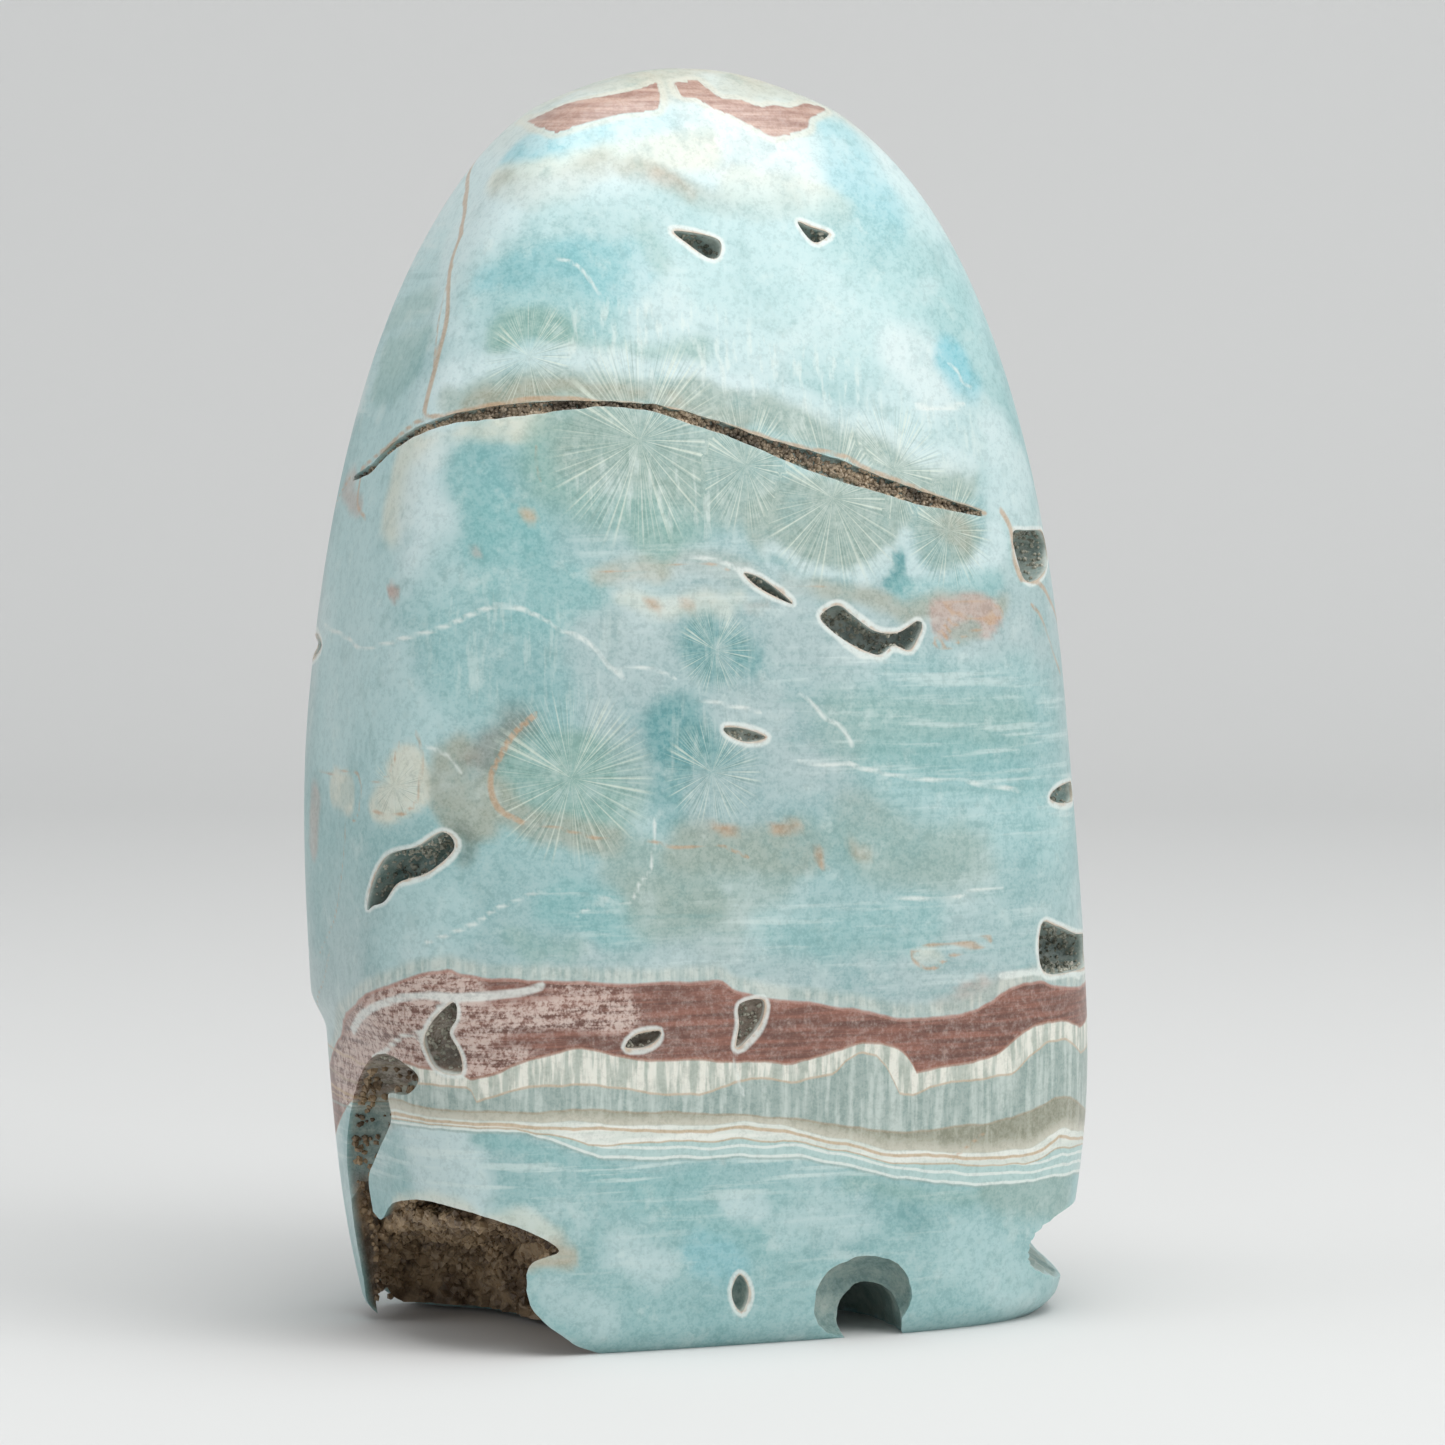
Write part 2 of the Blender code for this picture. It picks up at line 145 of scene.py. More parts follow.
# Pits: outline in face coordinates, depth, and the size of the floor against the mouth
PITS = {
    "crescent_vug": (
        ((-39.6, 38.7), (-38.3, 41.3), (-36.0, 43.6), (-32.8, 44.5), (-30.4, 45.8), (-29.4, 44.4),
         (-31.8, 42.3), (-34.8, 41.3), (-36.6, 39.6), (-38.3, 39.1)), 3.8, 0.5),
    "long_vug": (
        ((4.9, 63.8), (6.7, 64.7), (8.3, 63.7), (10.3, 62.4), (12.6, 62.2), (14.8, 63.2), (15.2, 62.6),
         (13.8, 60.7), (12.1, 61.1), (10.5, 60.3), (7.8, 61.3), (5.8, 62.6)), 2.8, 0.5),
    "thin_slit": (
        ((-2.6, 67.6), (-1.0, 67.2), (0.9, 66.0), (2.1, 64.9), (0.3, 65.6), (-1.4, 66.5)), 1.4, 0.4),
    "crown_vug_left": (
        ((-10.1, 97.2), (-5.9, 96.9), (-3.7, 96.3), (-4.0, 95.0), (-5.5, 94.9), (-8.0, 96.0)), 2.2, 0.5),
    "crown_vug_right": (
        ((7.8, 98.1), (9.5, 97.7), (11.9, 97.1), (9.8, 96.3), (8.6, 96.8)), 1.6, 0.4),
    "shoulder_vug": (
        ((27.5, 70.7), (30.1, 70.9), (34.5, 70.6), (36.0, 69.0), (33.0, 67.2), (28.8, 66.3), (27.6, 68.0)),
        3.4, 0.55),
    "band_corner_vug": (
        ((26.4, 35.9), (28.6, 35.6), (32.2, 34.6), (36.5, 34.0), (36.8, 31.6), (31.0, 31.3), (26.2, 31.8)),
        4.2, 0.55),
    "edge_pit": (
        ((29.0, 47.0), (30.6, 47.9), (34.6, 48.1), (35.0, 46.6), (31.4, 46.4)), 1.6, 0.45),
    "band_slot": (
        ((-15.7, 27.0), (-14.6, 28.0), (-12.2, 28.3), (-12.6, 27.5), (-14.0, 26.9)), 1.6, 0.45),
    "band_crack": (
        ((-4.5, 30.3), (-2.3, 30.6), (-2.5, 28.8), (-3.9, 27.3), (-5.2, 26.5), (-4.7, 28.5)), 1.3, 0.4),
    "band_split": (
        ((-30.1, 31.2), (-29.9, 29.8), (-30.9, 28.5), (-30.8, 27.0), (-30.9, 25.0), (-33.2, 25.2),
         (-34.0, 27.2), (-32.4, 29.2)), 2.4, 0.35),
    "base_pit": (
        ((-5.0, 6.5), (-4.1, 5.4), (-4.1, 4.2), (-4.7, 3.1), (-5.5, 3.9), (-5.8, 5.2)), 1.5, 0.45),
    "lens_pit": (((-4.8, 54.3), (-2.9, 54.2), (-0.8, 53.4), (-2.5, 53.0), (-4.3, 53.6)), 0.9, 0.4),
    "back_long_vug": (
        ((81.0, 66.0), (86.0, 67.6), (91.5, 67.0), (95.5, 65.2), (91.0, 63.8), (85.0, 63.6)), 2.8, 0.5),
    "back_low_vug": (((-79.0, 40.5), (-74.5, 42.0), (-70.5, 40.6), (-73.0, 38.6), (-77.5, 38.4)), 2.4, 0.5),
    "back_crown_slit": (((68.0, 88.4), (74.0, 89.6), (79.0, 88.6), (73.0, 87.6)), 1.5, 0.4),
    "right_side_vug": (((50.0, 54.0), (52.5, 56.6), (55.6, 55.4), (56.0, 52.6), (52.0, 51.6)), 2.4, 0.5),
    "left_side_slit": (((-62.0, 60.6), (-57.5, 61.8), (-54.0, 60.8), (-58.0, 59.4)), 1.6, 0.4),
}
PIT_LIFT = 1.6
OUTLINE_STEP = 0.4

# The open seam that crosses the front: u, height of its middle, height of its mouth
SEAM = (
    (-52.0, 75.6, 0.5), (-47.0, 76.6, 0.9), (-43.0, 78.2, 0.9), (-38.0, 79.8, 0.8), (-33.0, 81.0, 0.9),
    (-28.0, 81.6, 1.2), (-22.0, 82.1, 0.9), (-17.0, 82.3, 0.4), (-12.0, 81.9, 0.6), (-8.0, 81.0, 1.0),
    (-4.0, 80.0, 1.0), (0.0, 78.7, 1.2), (4.0, 77.5, 1.8), (8.0, 76.4, 2.0), (12.0, 75.2, 1.5),
    (16.0, 74.1, 1.4), (20.0, 73.2, 0.9), (24.0, 72.4, 0.5),
)
SEAM_DEPTH = 1.0

# Colours of the stone, as the light they give back in red, green and blue
PALETTE = {
    "aqua": (0.27, 0.46, 0.46), "pale": (0.42, 0.60, 0.60), "light": (0.55, 0.67, 0.67), "white": (0.66, 0.72, 0.71),
    "cream": (0.63, 0.64, 0.54), "turquoise": (0.19, 0.42, 0.42), "teal": (0.09, 0.28, 0.29),
    "blue": (0.20, 0.50, 0.56), "green": (0.21, 0.37, 0.32), "moss": (0.27, 0.36, 0.31), "olive": (0.32, 0.32, 0.24),
    "haze": (0.36, 0.47, 0.47), "tan": (0.46, 0.37, 0.25), "rust": (0.45, 0.26, 0.13), "pink": (0.45, 0.32, 0.27),
    "grey": (0.42, 0.40, 0.36), "brown": (0.16, 0.11, 0.07), "shade": (0.10, 0.15, 0.12), "cap": (0.46, 0.45, 0.36),
}

# The ground colour of the stone at some heights, before the soft patches are laid on it
GROUND = ((0.0, "aqua"), (14.0, "aqua"), (30.0, "haze"), (45.0, "aqua"), (62.0, "haze"), (78.0, "aqua"),
          (92.0, "pale"), (104.0, "light"), (112.0, "cap"))

# Soft patches on the front: colour, strength, half width and soft edge in millimetres, then their middle line
PATCHES = (
    ("pale", 0.8, 5.0, 5.0, ((345, 640), (340, 720), (350, 560))),
    ("pale", 0.8, 4.0, 5.0, ((395, 560), (400, 660), (380, 740))),
    ("pale", 0.7, 5.0, 6.0, ((400, 330), (420, 380), (390, 420))),
    # Painted sheen: this light band along the left ridge stands in for the soft highlight the ridge catches
    ("light", 0.7, 2.5, 4.0, ((470, 230), (455, 330), (445, 390))),
    ("green", 0.45, 0.9, 1.4, ((384, 360), (422, 342))),
    ("green", 0.45, 0.9, 1.4, ((376, 392), (412, 372))),
    ("green", 0.4, 0.8, 1.4, ((392, 320), (430, 302))),
    ("blue", 0.8, 2.0, 2.6, ((530, 152), (570, 148), (610, 132), (645, 126))),
    ("blue", 0.55, 1.5, 3.0, ((840, 140), (860, 190), (880, 230))),
    ("white", 0.8, 2.2, 3.0, ((715, 135), (748, 157), (775, 172))),
    ("white", 0.5, 1.6, 2.4, ((640, 135), (690, 130), (720, 120))),
    ("cream", 0.75, 1.1, 1.6, ((500, 178), (557, 175), (600, 163), (650, 155), (704, 149))),
    ("olive", 0.55, 0.9, 1.5, ((502, 184), (528, 194), (560, 186), (600, 170))),
    ("olive", 0.6, 0.7, 1.2, ((630, 172), (660, 182), (689, 192), (720, 203), (757, 207), (786, 204))),
    ("rust", 0.5, 0.3, 0.9, ((655, 180), (672, 186), (690, 194))),
    ("cream", 0.6, 1.2, 1.6, ((740, 185), (790, 195), (830, 205))),
    ("light", 0.6, 2.0, 2.5, ((500, 210), (580, 205), (650, 215))),
    ("blue", 0.65, 0.7, 1.4, ((490, 275), (537, 259), (565, 256))),
    ("blue", 0.7, 1.6, 2.2, ((590, 262), (610, 280), (632, 272))),
    ("green", 0.5, 0.5, 1.4, ((645, 232), (655, 250), (664, 266))),
    ("turquoise", 0.4, 1.8, 3.0, ((560, 225), (620, 235), (680, 220))),
    ("turquoise", 0.45, 2.5, 4.0, ((500, 290), (560, 300), (620, 310))),
    ("light", 0.6, 2.2, 3.4, ((660, 330), (700, 345), (750, 350))),
    ("pale", 0.7, 4.5, 5.0, ((760, 260), (830, 290), (890, 320))),
    ("turquoise", 0.35, 2.2, 3.4, ((850, 235), (905, 270), (945, 300))),
    ("white", 0.6, 1.6, 2.2, ((900, 352), (922, 366), (935, 385))),
    ("blue", 0.9, 1.0, 1.5, ((945, 356), (958, 368), (968, 384))),
    ("light", 0.5, 2.4, 3.0, ((890, 420), (935, 425), (975, 430))),
    ("green", 0.85, 1.0, 1.5, ((505, 345), (512, 328), (533, 320), (556, 330), (566, 348))),
    ("pale", 0.8, 0.8, 0.8, ((527, 354), (545, 352))),
    ("green", 0.65, 0.5, 1.7, ((560, 355), (610, 358), (660, 355), (700, 350))),
    ("light", 0.85, 1.0, 1.2, ((443, 384), (500, 374), (560, 366), (640, 368), (700, 378), (750, 392))),
    ("moss", 0.75, 0.8, 1.0, ((450, 402), (500, 393), (560, 386), (640, 390), (700, 400))),
    ("olive", 0.85, 0.5, 1.0, ((470, 406), (520, 396), (580, 394), (640, 397), (700, 408), (740, 420))),
    ("moss", 0.85, 1.0, 1.3, ((700, 395), (760, 412), (800, 425), (860, 445), (910, 468), (960, 485))),
    ("light", 0.6, 0.6, 1.0, ((780, 395), (840, 415), (900, 440), (960, 465))),
    ("light", 0.7, 1.6, 2.2, ((1000, 440), (1010, 500), (1020, 470))),
    ("cream", 0.9, 0.8, 1.0, ((424, 450), (450, 450), (470, 441), (495, 432), (520, 427), (545, 424))),
    ("cream", 0.75, 1.6, 1.8, ((408, 460), (402, 490), (396, 515))),
    ("pink", 0.6, 0.6, 0.9, ((352, 478), (344, 490), (360, 506))),
    # Painted sheen: more of the light band along the left ridge, painted into the colour
    ("light", 0.8, 2.5, 2.5, ((440, 480), (425, 520), (430, 560))),
    ("turquoise", 0.85, 1.4, 2.4, ((470, 475), (490, 505), (506, 535))),
    ("turquoise", 0.75, 2.4, 3.5, ((510, 545), (525, 580), (560, 600))),
    ("green", 0.75, 3.0, 3.5, ((570, 460), (620, 485), (670, 500))),
    ("moss", 0.75, 2.4, 3.0, ((600, 445), (680, 460), (740, 480))),
    ("green", 0.6, 1.4, 2.0, ((640, 520), (660, 540))),
    ("moss", 0.9, 3.2, 1.4, ((790, 520), (830, 525), (870, 520))),
    ("light", 0.75, 0.8, 1.0, ((774, 552), (800, 570), (835, 578), (865, 572), (885, 556))),
    ("moss", 0.9, 2.2, 1.2, ((935, 532), (955, 540))),
    ("olive", 0.7, 0.9, 1.2, ((945, 530), (958, 538))),
    ("light", 0.85, 0.7, 0.9, ((903, 540), (912, 566), (938, 582), (968, 580), (989, 556), (995, 530))),
    ("teal", 1.0, 0.5, 0.6, ((899, 556), (899, 572), (890, 582), (912, 586))),
    ("teal", 0.55, 0.3, 0.7, ((772, 556), (798, 574), (842, 584))),
    ("turquoise", 0.6, 0.8, 1.2, ((900, 592), (950, 592), (990, 580))),
    ("olive", 0.7, 0.4, 1.2, ((782, 584), (830, 590), (884, 606), (903, 614), (942, 602), (1001, 604))),
    ("tan", 0.5, 0.4, 1.2, ((600, 575), (640, 568), (700, 566), (748, 574))),
    ("haze", 0.7, 1.4, 2.0, ((690, 582), (740, 590), (790, 600))),
    ("cream", 0.6, 0.5, 1.0, ((625, 600), (655, 607), (690, 604), (735, 598))),
    ("rust", 0.7, 0.25, 0.5, ((649, 606), (654, 608))), ("rust", 0.6, 0.25, 0.5, ((681, 603), (686, 604))),
    ("rust", 0.7, 0.25, 0.6, ((750, 608), (760, 604))), ("tan", 0.9, 0.3, 0.7, ((523, 512), (527, 516))),
    ("pink", 0.8, 0.2, 0.4, ((483, 552), (485, 553))), ("pink", 0.9, 0.4, 0.5, ((391, 589), (396, 592))),
    ("pink", 0.85, 1.6, 0.7, ((948, 618), (968, 614), (985, 614))), ("moss", 0.7, 0.6, 0.5, ((958, 634), (975, 624))),
    ("haze", 0.8, 1.6, 2.0, ((760, 625), (800, 640), (860, 665))),
    ("teal", 0.85, 1.6, 2.2, ((700, 640), (722, 650), (735, 668))),
    ("haze", 0.7, 0.5, 0.8, ((723, 646), (727, 660))),
    ("haze", 0.8, 2.4, 2.6, ((590, 660), (630, 700), (655, 730))),
    ("turquoise", 0.5, 3.0, 4.0, ((460, 600), (480, 660), (520, 690))),
    ("teal", 0.9, 2.0, 2.6, ((680, 735), (705, 765), (745, 768))),
    ("teal", 0.6, 1.5, 2.4, ((655, 740), (670, 780), (690, 810))),
    ("haze", 0.9, 2.2, 2.4, ((745, 712), (790, 730), (820, 750))),
    ("haze", 0.8, 2.0, 2.4, ((720, 800), (790, 785), (850, 790))),
    ("aqua", 0.7, 3.0, 4.0, ((900, 700), (960, 720), (1020, 710))),
    ("green", 0.4, 1.6, 3.0, ((850, 725), (930, 735), (1010, 725))),
    ("turquoise", 0.45, 1.4, 2.4, ((880, 770), (960, 770), (1030, 800))),
    ("pale", 0.45, 1.6, 2.4, ((900, 800), (980, 820), (1050, 830))),
    ("moss", 0.6, 2.0, 3.0, ((860, 830), (910, 850), (960, 860))),
    ("cream", 0.95, 1.5, 0.8, ((405, 765), (412, 785), (385, 800))),
    ("cream", 0.95, 1.3, 0.8, ((335, 790), (348, 795))), ("pink", 0.6, 0.8, 1.2, ((316, 800), (314, 840))),
    ("olive", 0.75, 1.4, 1.4, ((455, 765), (452, 800), (470, 825))),
    ("green", 0.85, 3.4, 2.2, ((545, 770), (575, 780), (600, 785))),
    ("haze", 0.5, 0.8, 1.4, ((600, 715), (625, 745), (640, 780))),
    ("brown", 0.55, 0.5, 1.6, ((520, 715), (498, 735), (484, 762))),
    ("olive", 0.7, 0.8, 1.4, ((492, 790), (515, 822), (560, 835), (610, 845))),
    ("olive", 0.6, 1.3, 2.0, ((690, 848), (740, 850), (800, 848))),
    ("moss", 0.6, 2.0, 2.4, ((640, 870), (700, 885), (760, 880))),
    ("rust", 0.85, 0.3, 0.6, ((718, 828), (732, 830))), ("rust", 0.8, 0.25, 0.6, ((776, 829), (796, 833))),
    ("rust", 0.8, 0.2, 0.5, ((819, 850), (821, 862))), ("tan", 0.8, 0.3, 0.6, ((850, 846), (862, 850))),
    ("shade", 0.6, 0.4, 1.2, ((458, 832), (462, 858))),
    ("pale", 0.6, 1.8, 2.6, ((420, 900), (440, 925), (400, 950))),
    ("turquoise", 0.75, 1.2, 1.8, ((560, 905), (600, 915), (625, 935))),
    ("green", 0.45, 0.5, 1.0, ((516, 935), (545, 945), (575, 950))),
    ("moss", 0.6, 1.6, 2.2, ((650, 905), (700, 915), (720, 935))),
    ("turquoise", 0.55, 1.4, 2.2, ((770, 935), (850, 930), (920, 925))),
    ("haze", 0.7, 1.4, 2.0, ((600, 965), (700, 968), (800, 975))),
    ("cream", 0.85, 0.5, 0.6, ((918, 955), (936, 956))), ("haze", 0.8, 1.0, 1.6, ((900, 975), (950, 972))),
    ("pink", 0.75, 0.4, 0.5, ((958, 990), (982, 982))), ("grey", 0.7, 0.7, 0.9, ((945, 1003), (990, 988), (1030, 975))),
    ("light", 0.8, 2.6, 2.8, ((430, 1100), (440, 1150), (450, 1190))),
    ("light", 0.6, 1.6, 2.2, ((340, 1150), (350, 1200), (358, 1240))),
    ("turquoise", 0.6, 0.4, 1.0, ((478, 1135), (504, 1140), (558, 1158))),
    ("turquoise", 0.5, 0.4, 1.2, ((584, 1168), (638, 1181), (700, 1180))),
    ("turquoise", 0.45, 0.8, 1.6, ((640, 1200), (720, 1230), (800, 1240))),
    ("light", 0.6, 0.6, 1.4, ((735, 1210), (760, 1205))), ("light", 0.55, 0.7, 1.8, ((620, 1250), (660, 1275))),
    ("blue", 0.45, 1.0, 1.6, ((700, 1258), (730, 1264))), ("teal", 0.4, 0.3, 0.9, ((816, 1253), (840, 1249), (866, 1253))),
    ("green", 0.45, 0.3, 1.1, ((852, 1182), (890, 1192), (926, 1194), (990, 1196))),
    ("teal", 0.45, 0.6, 1.2, ((908, 1212), (914, 1222))), ("moss", 0.55, 1.6, 2.4, ((1000, 1190), (1060, 1185))),
    ("light", 0.35, 1.4, 2.4, ((850, 1220), (800, 1225))), ("pale", 0.55, 1.6, 2.6, ((960, 1250), (1010, 1290))),
    ("rust", 0.75, 0.15, 0.25, ((724, 1164), (740, 1161), (756, 1158))),
    ("light", 0.4, 1.0, 1.8, ((560, 1290), (600, 1320))),
    ("cream", 0.7, 0.5, 0.9, ((395, 1202), (430, 1198), (470, 1208), (520, 1222), (552, 1240))),
    ("tan", 0.75, 0.6, 0.8, ((530, 1256), (548, 1252), (574, 1254))),
    ("grey", 0.8, 1.6, 1.4, ((430, 1082), (410, 1086), (380, 1105))),
)

# The same on the hidden sides, in face coordinates
HIDDEN_PATCHES = (
    ("teal", 0.6, 3.0, 4.0, ((58.0, 62.0), (68.0, 60.0))), ("light", 0.6, 3.0, 4.0, ((76.0, 84.0), (90.0, 86.0))),
    ("cream", 0.6, 1.2, 2.0, ((52.0, 70.0), (66.0, 73.0), (84.0, 75.0), (100.0, 76.0), (120.0, 76.0))),
    ("green", 0.6, 3.5, 4.0, ((84.0, 56.0), (98.0, 52.0))), ("haze", 0.7, 3.0, 4.0, ((-90.0, 62.0), (-74.0, 58.0))),
    ("turquoise", 0.6, 3.5, 4.5, ((-84.0, 46.0), (-70.0, 50.0))), ("moss", 0.6, 2.0, 3.0, ((48.0, 46.0), (66.0, 48.0))),
    ("blue", 0.6, 2.5, 4.0, ((60.0, 94.0), (74.0, 97.0))), ("light", 0.5, 3.0, 4.0, ((-92.0, 92.0), (-72.0, 88.0))),
    ("olive", 0.6, 0.8, 1.6, ((46.0, 84.0), (60.0, 87.0), (80.0, 90.0))),
    ("turquoise", 0.5, 3.0, 4.0, ((56.0, 14.0), (76.0, 12.0))), ("pale", 0.6, 3.0, 4.0, ((-94.0, 12.0), (-72.0, 15.0))),
    ("teal", 0.4, 1.0, 3.0, ((84.0, 20.0), (104.0, 17.0))), ("rust", 0.6, 0.4, 1.0, ((70.0, 66.0), (77.0, 67.0))),
)

# Edges between the bands, bottom to top: pixels on the front from left to right, then face coordinates behind
EDGES = {
    "foot": (((525, 1132), (547, 1140), (574, 1152), (600, 1158), (638, 1160), (700, 1160), (742, 1158), (803, 1158),
              (852, 1170), (889, 1178), (938, 1184), (987, 1186), (1027, 1184), (1060, 1176), (1085, 1172)),
             ((55.0, 19.5), (75.0, 20.5), (96.0, 19.0), (118.0, 20.0))),
    "hairline": (((518, 1128), (547, 1134), (574, 1141), (590, 1146), (638, 1143), (700, 1141), (742, 1139), (803, 1143),
                  (852, 1154), (889, 1162), (938, 1164), (987, 1166), (1027, 1163), (1055, 1149), (1085, 1144)),
                 ((55.0, 21.5), (75.0, 22.0), (96.0, 20.5), (118.0, 21.0))),
    "tan_line": (((510, 1125), (547, 1127), (574, 1131), (606, 1128), (638, 1130), (675, 1133), (736, 1128), (773, 1130),
                  (816, 1139), (850, 1146), (880, 1153), (926, 1155), (963, 1159), (1018, 1156), (1042, 1148),
                  (1058, 1138), (1085, 1139)),
                 ((55.0, 22.2), (75.0, 22.8), (96.0, 21.4), (118.0, 21.8))),
    "cream": (((500, 1122), (531, 1122), (574, 1123), (620, 1125), (681, 1127), (742, 1123), (779, 1126), (816, 1135),
               (852, 1142), (883, 1149), (914, 1150), (950, 1155), (987, 1153), (1030, 1147), (1048, 1137), (1062, 1129),
               (1085, 1134)),
              ((55.0, 22.7), (75.0, 23.4), (96.0, 22.0), (118.0, 22.4))),
    "olive": (((485, 1112), (493, 1112), (531, 1112), (571, 1111), (611, 1110), (651, 1112), (700, 1113), (761, 1117),
               (803, 1120), (840, 1126), (874, 1131), (926, 1131), (956, 1126), (987, 1122), (1010, 1118), (1030, 1112),
               (1054, 1098), (1070, 1096), (1085, 1110)),
              ((55.0, 24.4), (75.0, 25.0), (96.0, 23.4), (118.0, 23.6))),
    "dome_line": (((470, 1088), (477, 1102), (494, 1098), (518, 1089), (547, 1085), (593, 1085), (636, 1090), (665, 1095),
                   (700, 1093), (736, 1082), (760, 1079), (791, 1081), (834, 1075), (846, 1062), (860, 1052), (876, 1054),
                   (886, 1066), (892, 1078), (900, 1094), (914, 1096), (929, 1087), (951, 1082), (987, 1078),
                   (1012, 1075), (1027, 1056), (1048, 1041), (1067, 1040), (1080, 1052)),
                  ((55.0, 27.0), (75.0, 27.8), (96.0, 26.0), (118.0, 25.6))),
    "band_bottom": (((330, 1138), (344, 1111), (360, 1090), (378, 1074), (405, 1062), (424, 1068), (456, 1069), (472, 1079),
                     (493, 1074), (515, 1066), (547, 1056), (574, 1048), (598, 1050), (617, 1055), (638, 1060),
                     (700, 1060), (760, 1062), (791, 1062), (810, 1058), (840, 1050), (859, 1042), (880, 1042),
                     (895, 1047), (908, 1058), (915, 1072), (938, 1067), (972, 1062), (996, 1053), (1015, 1038),
                     (1033, 1026), (1048, 1021), (1067, 1020), (1079, 1026)),
                    ((55.0, 29.0), (75.0, 30.0), (96.0, 28.0), (118.0, 26.5))),
    "band_top": (((330, 1066), (344, 1020), (357, 1003), (378, 990), (410, 978), (451, 970), (461, 975), (493, 980),
                  (547, 980), (600, 984), (657, 983), (721, 982), (733, 990), (764, 998), (804, 1003), (850, 1009),
                  (883, 1015), (896, 1019), (926, 1018), (960, 1015), (975, 1009), (1002, 994), (1024, 983),
                  (1042, 981), (1052, 987), (1079, 989)),
                 ((55.0, 33.4), (75.0, 34.6), (96.0, 33.0), (118.0, 31.0))),
    "cap": (((490, 138), (522, 119), (537, 116), (569, 102), (604, 95), (627, 91), (645, 86), (657, 81), (700, 80),
             (713, 91), (722, 97), (742, 99), (760, 106), (774, 104), (789, 107), (804, 102), (824, 108), (845, 122)),
            ((60.0, 108.4), (96.0, 109.4), (130.0, 108.6))),
}
CROWN_BANDS = (
    ((522, 119), (537, 117), (569, 103), (604, 96), (628, 92), (645, 87), (657, 82), (661, 96), (658, 109), (642, 112),
     (622, 114), (601, 119), (578, 125), (557, 133), (546, 128), (534, 124)),
    ((675, 83), (698, 81), (713, 93), (722, 99), (742, 100), (760, 107), (774, 105), (789, 108), (804, 103), (824, 108),
     (810, 118), (807, 128), (789, 135), (771, 137), (757, 128), (733, 116), (713, 109), (698, 99), (683, 97)),
)

# Thin veins: half width in millimetres and the pixels they pass
PALE_VEINS = (
    (0.16, ((325, 625), (349, 638), (362, 650), (384, 643), (402, 638), (422, 633), (453, 623), (479, 612), (499, 606),
            (525, 609), (545, 618), (557, 628), (581, 638), (601, 653), (609, 666), (624, 679))),
    (0.12, ((609, 666), (632, 667), (657, 671), (675, 679))),
    (0.13, ((422, 745), (443, 753), (453, 760), (463, 773))),
    (0.12, ((655, 819), (652, 865), (639, 885), (634, 898), (619, 906), (593, 908), (576, 916))),
    (0.10, ((540, 894), (591, 896), (610, 900))), (0.14, ((428, 944), (474, 924), (499, 908), (540, 890))),
    (0.15, ((798, 762), (830, 765), (846, 762), (862, 767), (884, 773), (921, 778), (964, 781), (980, 786), (1017, 791))),
    (0.12, ((798, 692), (809, 700), (819, 711), (825, 719), (841, 727), (851, 746))),
    (0.15, ((890, 897), (908, 899), (948, 901), (969, 893), (1001, 888))),
    (0.10, ((557, 258), (578, 266), (592, 284), (600, 296))), (0.08, ((916, 402), (940, 399), (964, 404))),
    (0.08, ((910, 411), (940, 408), (968, 414))), (0.10, ((948, 364), (958, 372), (959, 381), (972, 388))),
    (0.22, ((841, 643), (862, 656), (881, 648), (884, 644), (910, 650))),
    (0.35, ((541, 984), (520, 990), (488, 995), (456, 998), (420, 996), (390, 1000), (366, 1012), (352, 1030))),
    (0.25, ((450, 1031), (413, 1034), (389, 1046), (373, 1058))), (0.14, ((680, 555), (720, 562), (747, 573))),
    (0.14, ((715, 116), (733, 122), (757, 134), (775, 141))), (0.12, ((700, 700), (730, 705), (760, 712))),
    (0.3, ((1000, 976), (1034, 971), (1079, 976))), (0.10, ((735, 1060), (738, 1078), (742, 1095))),
)
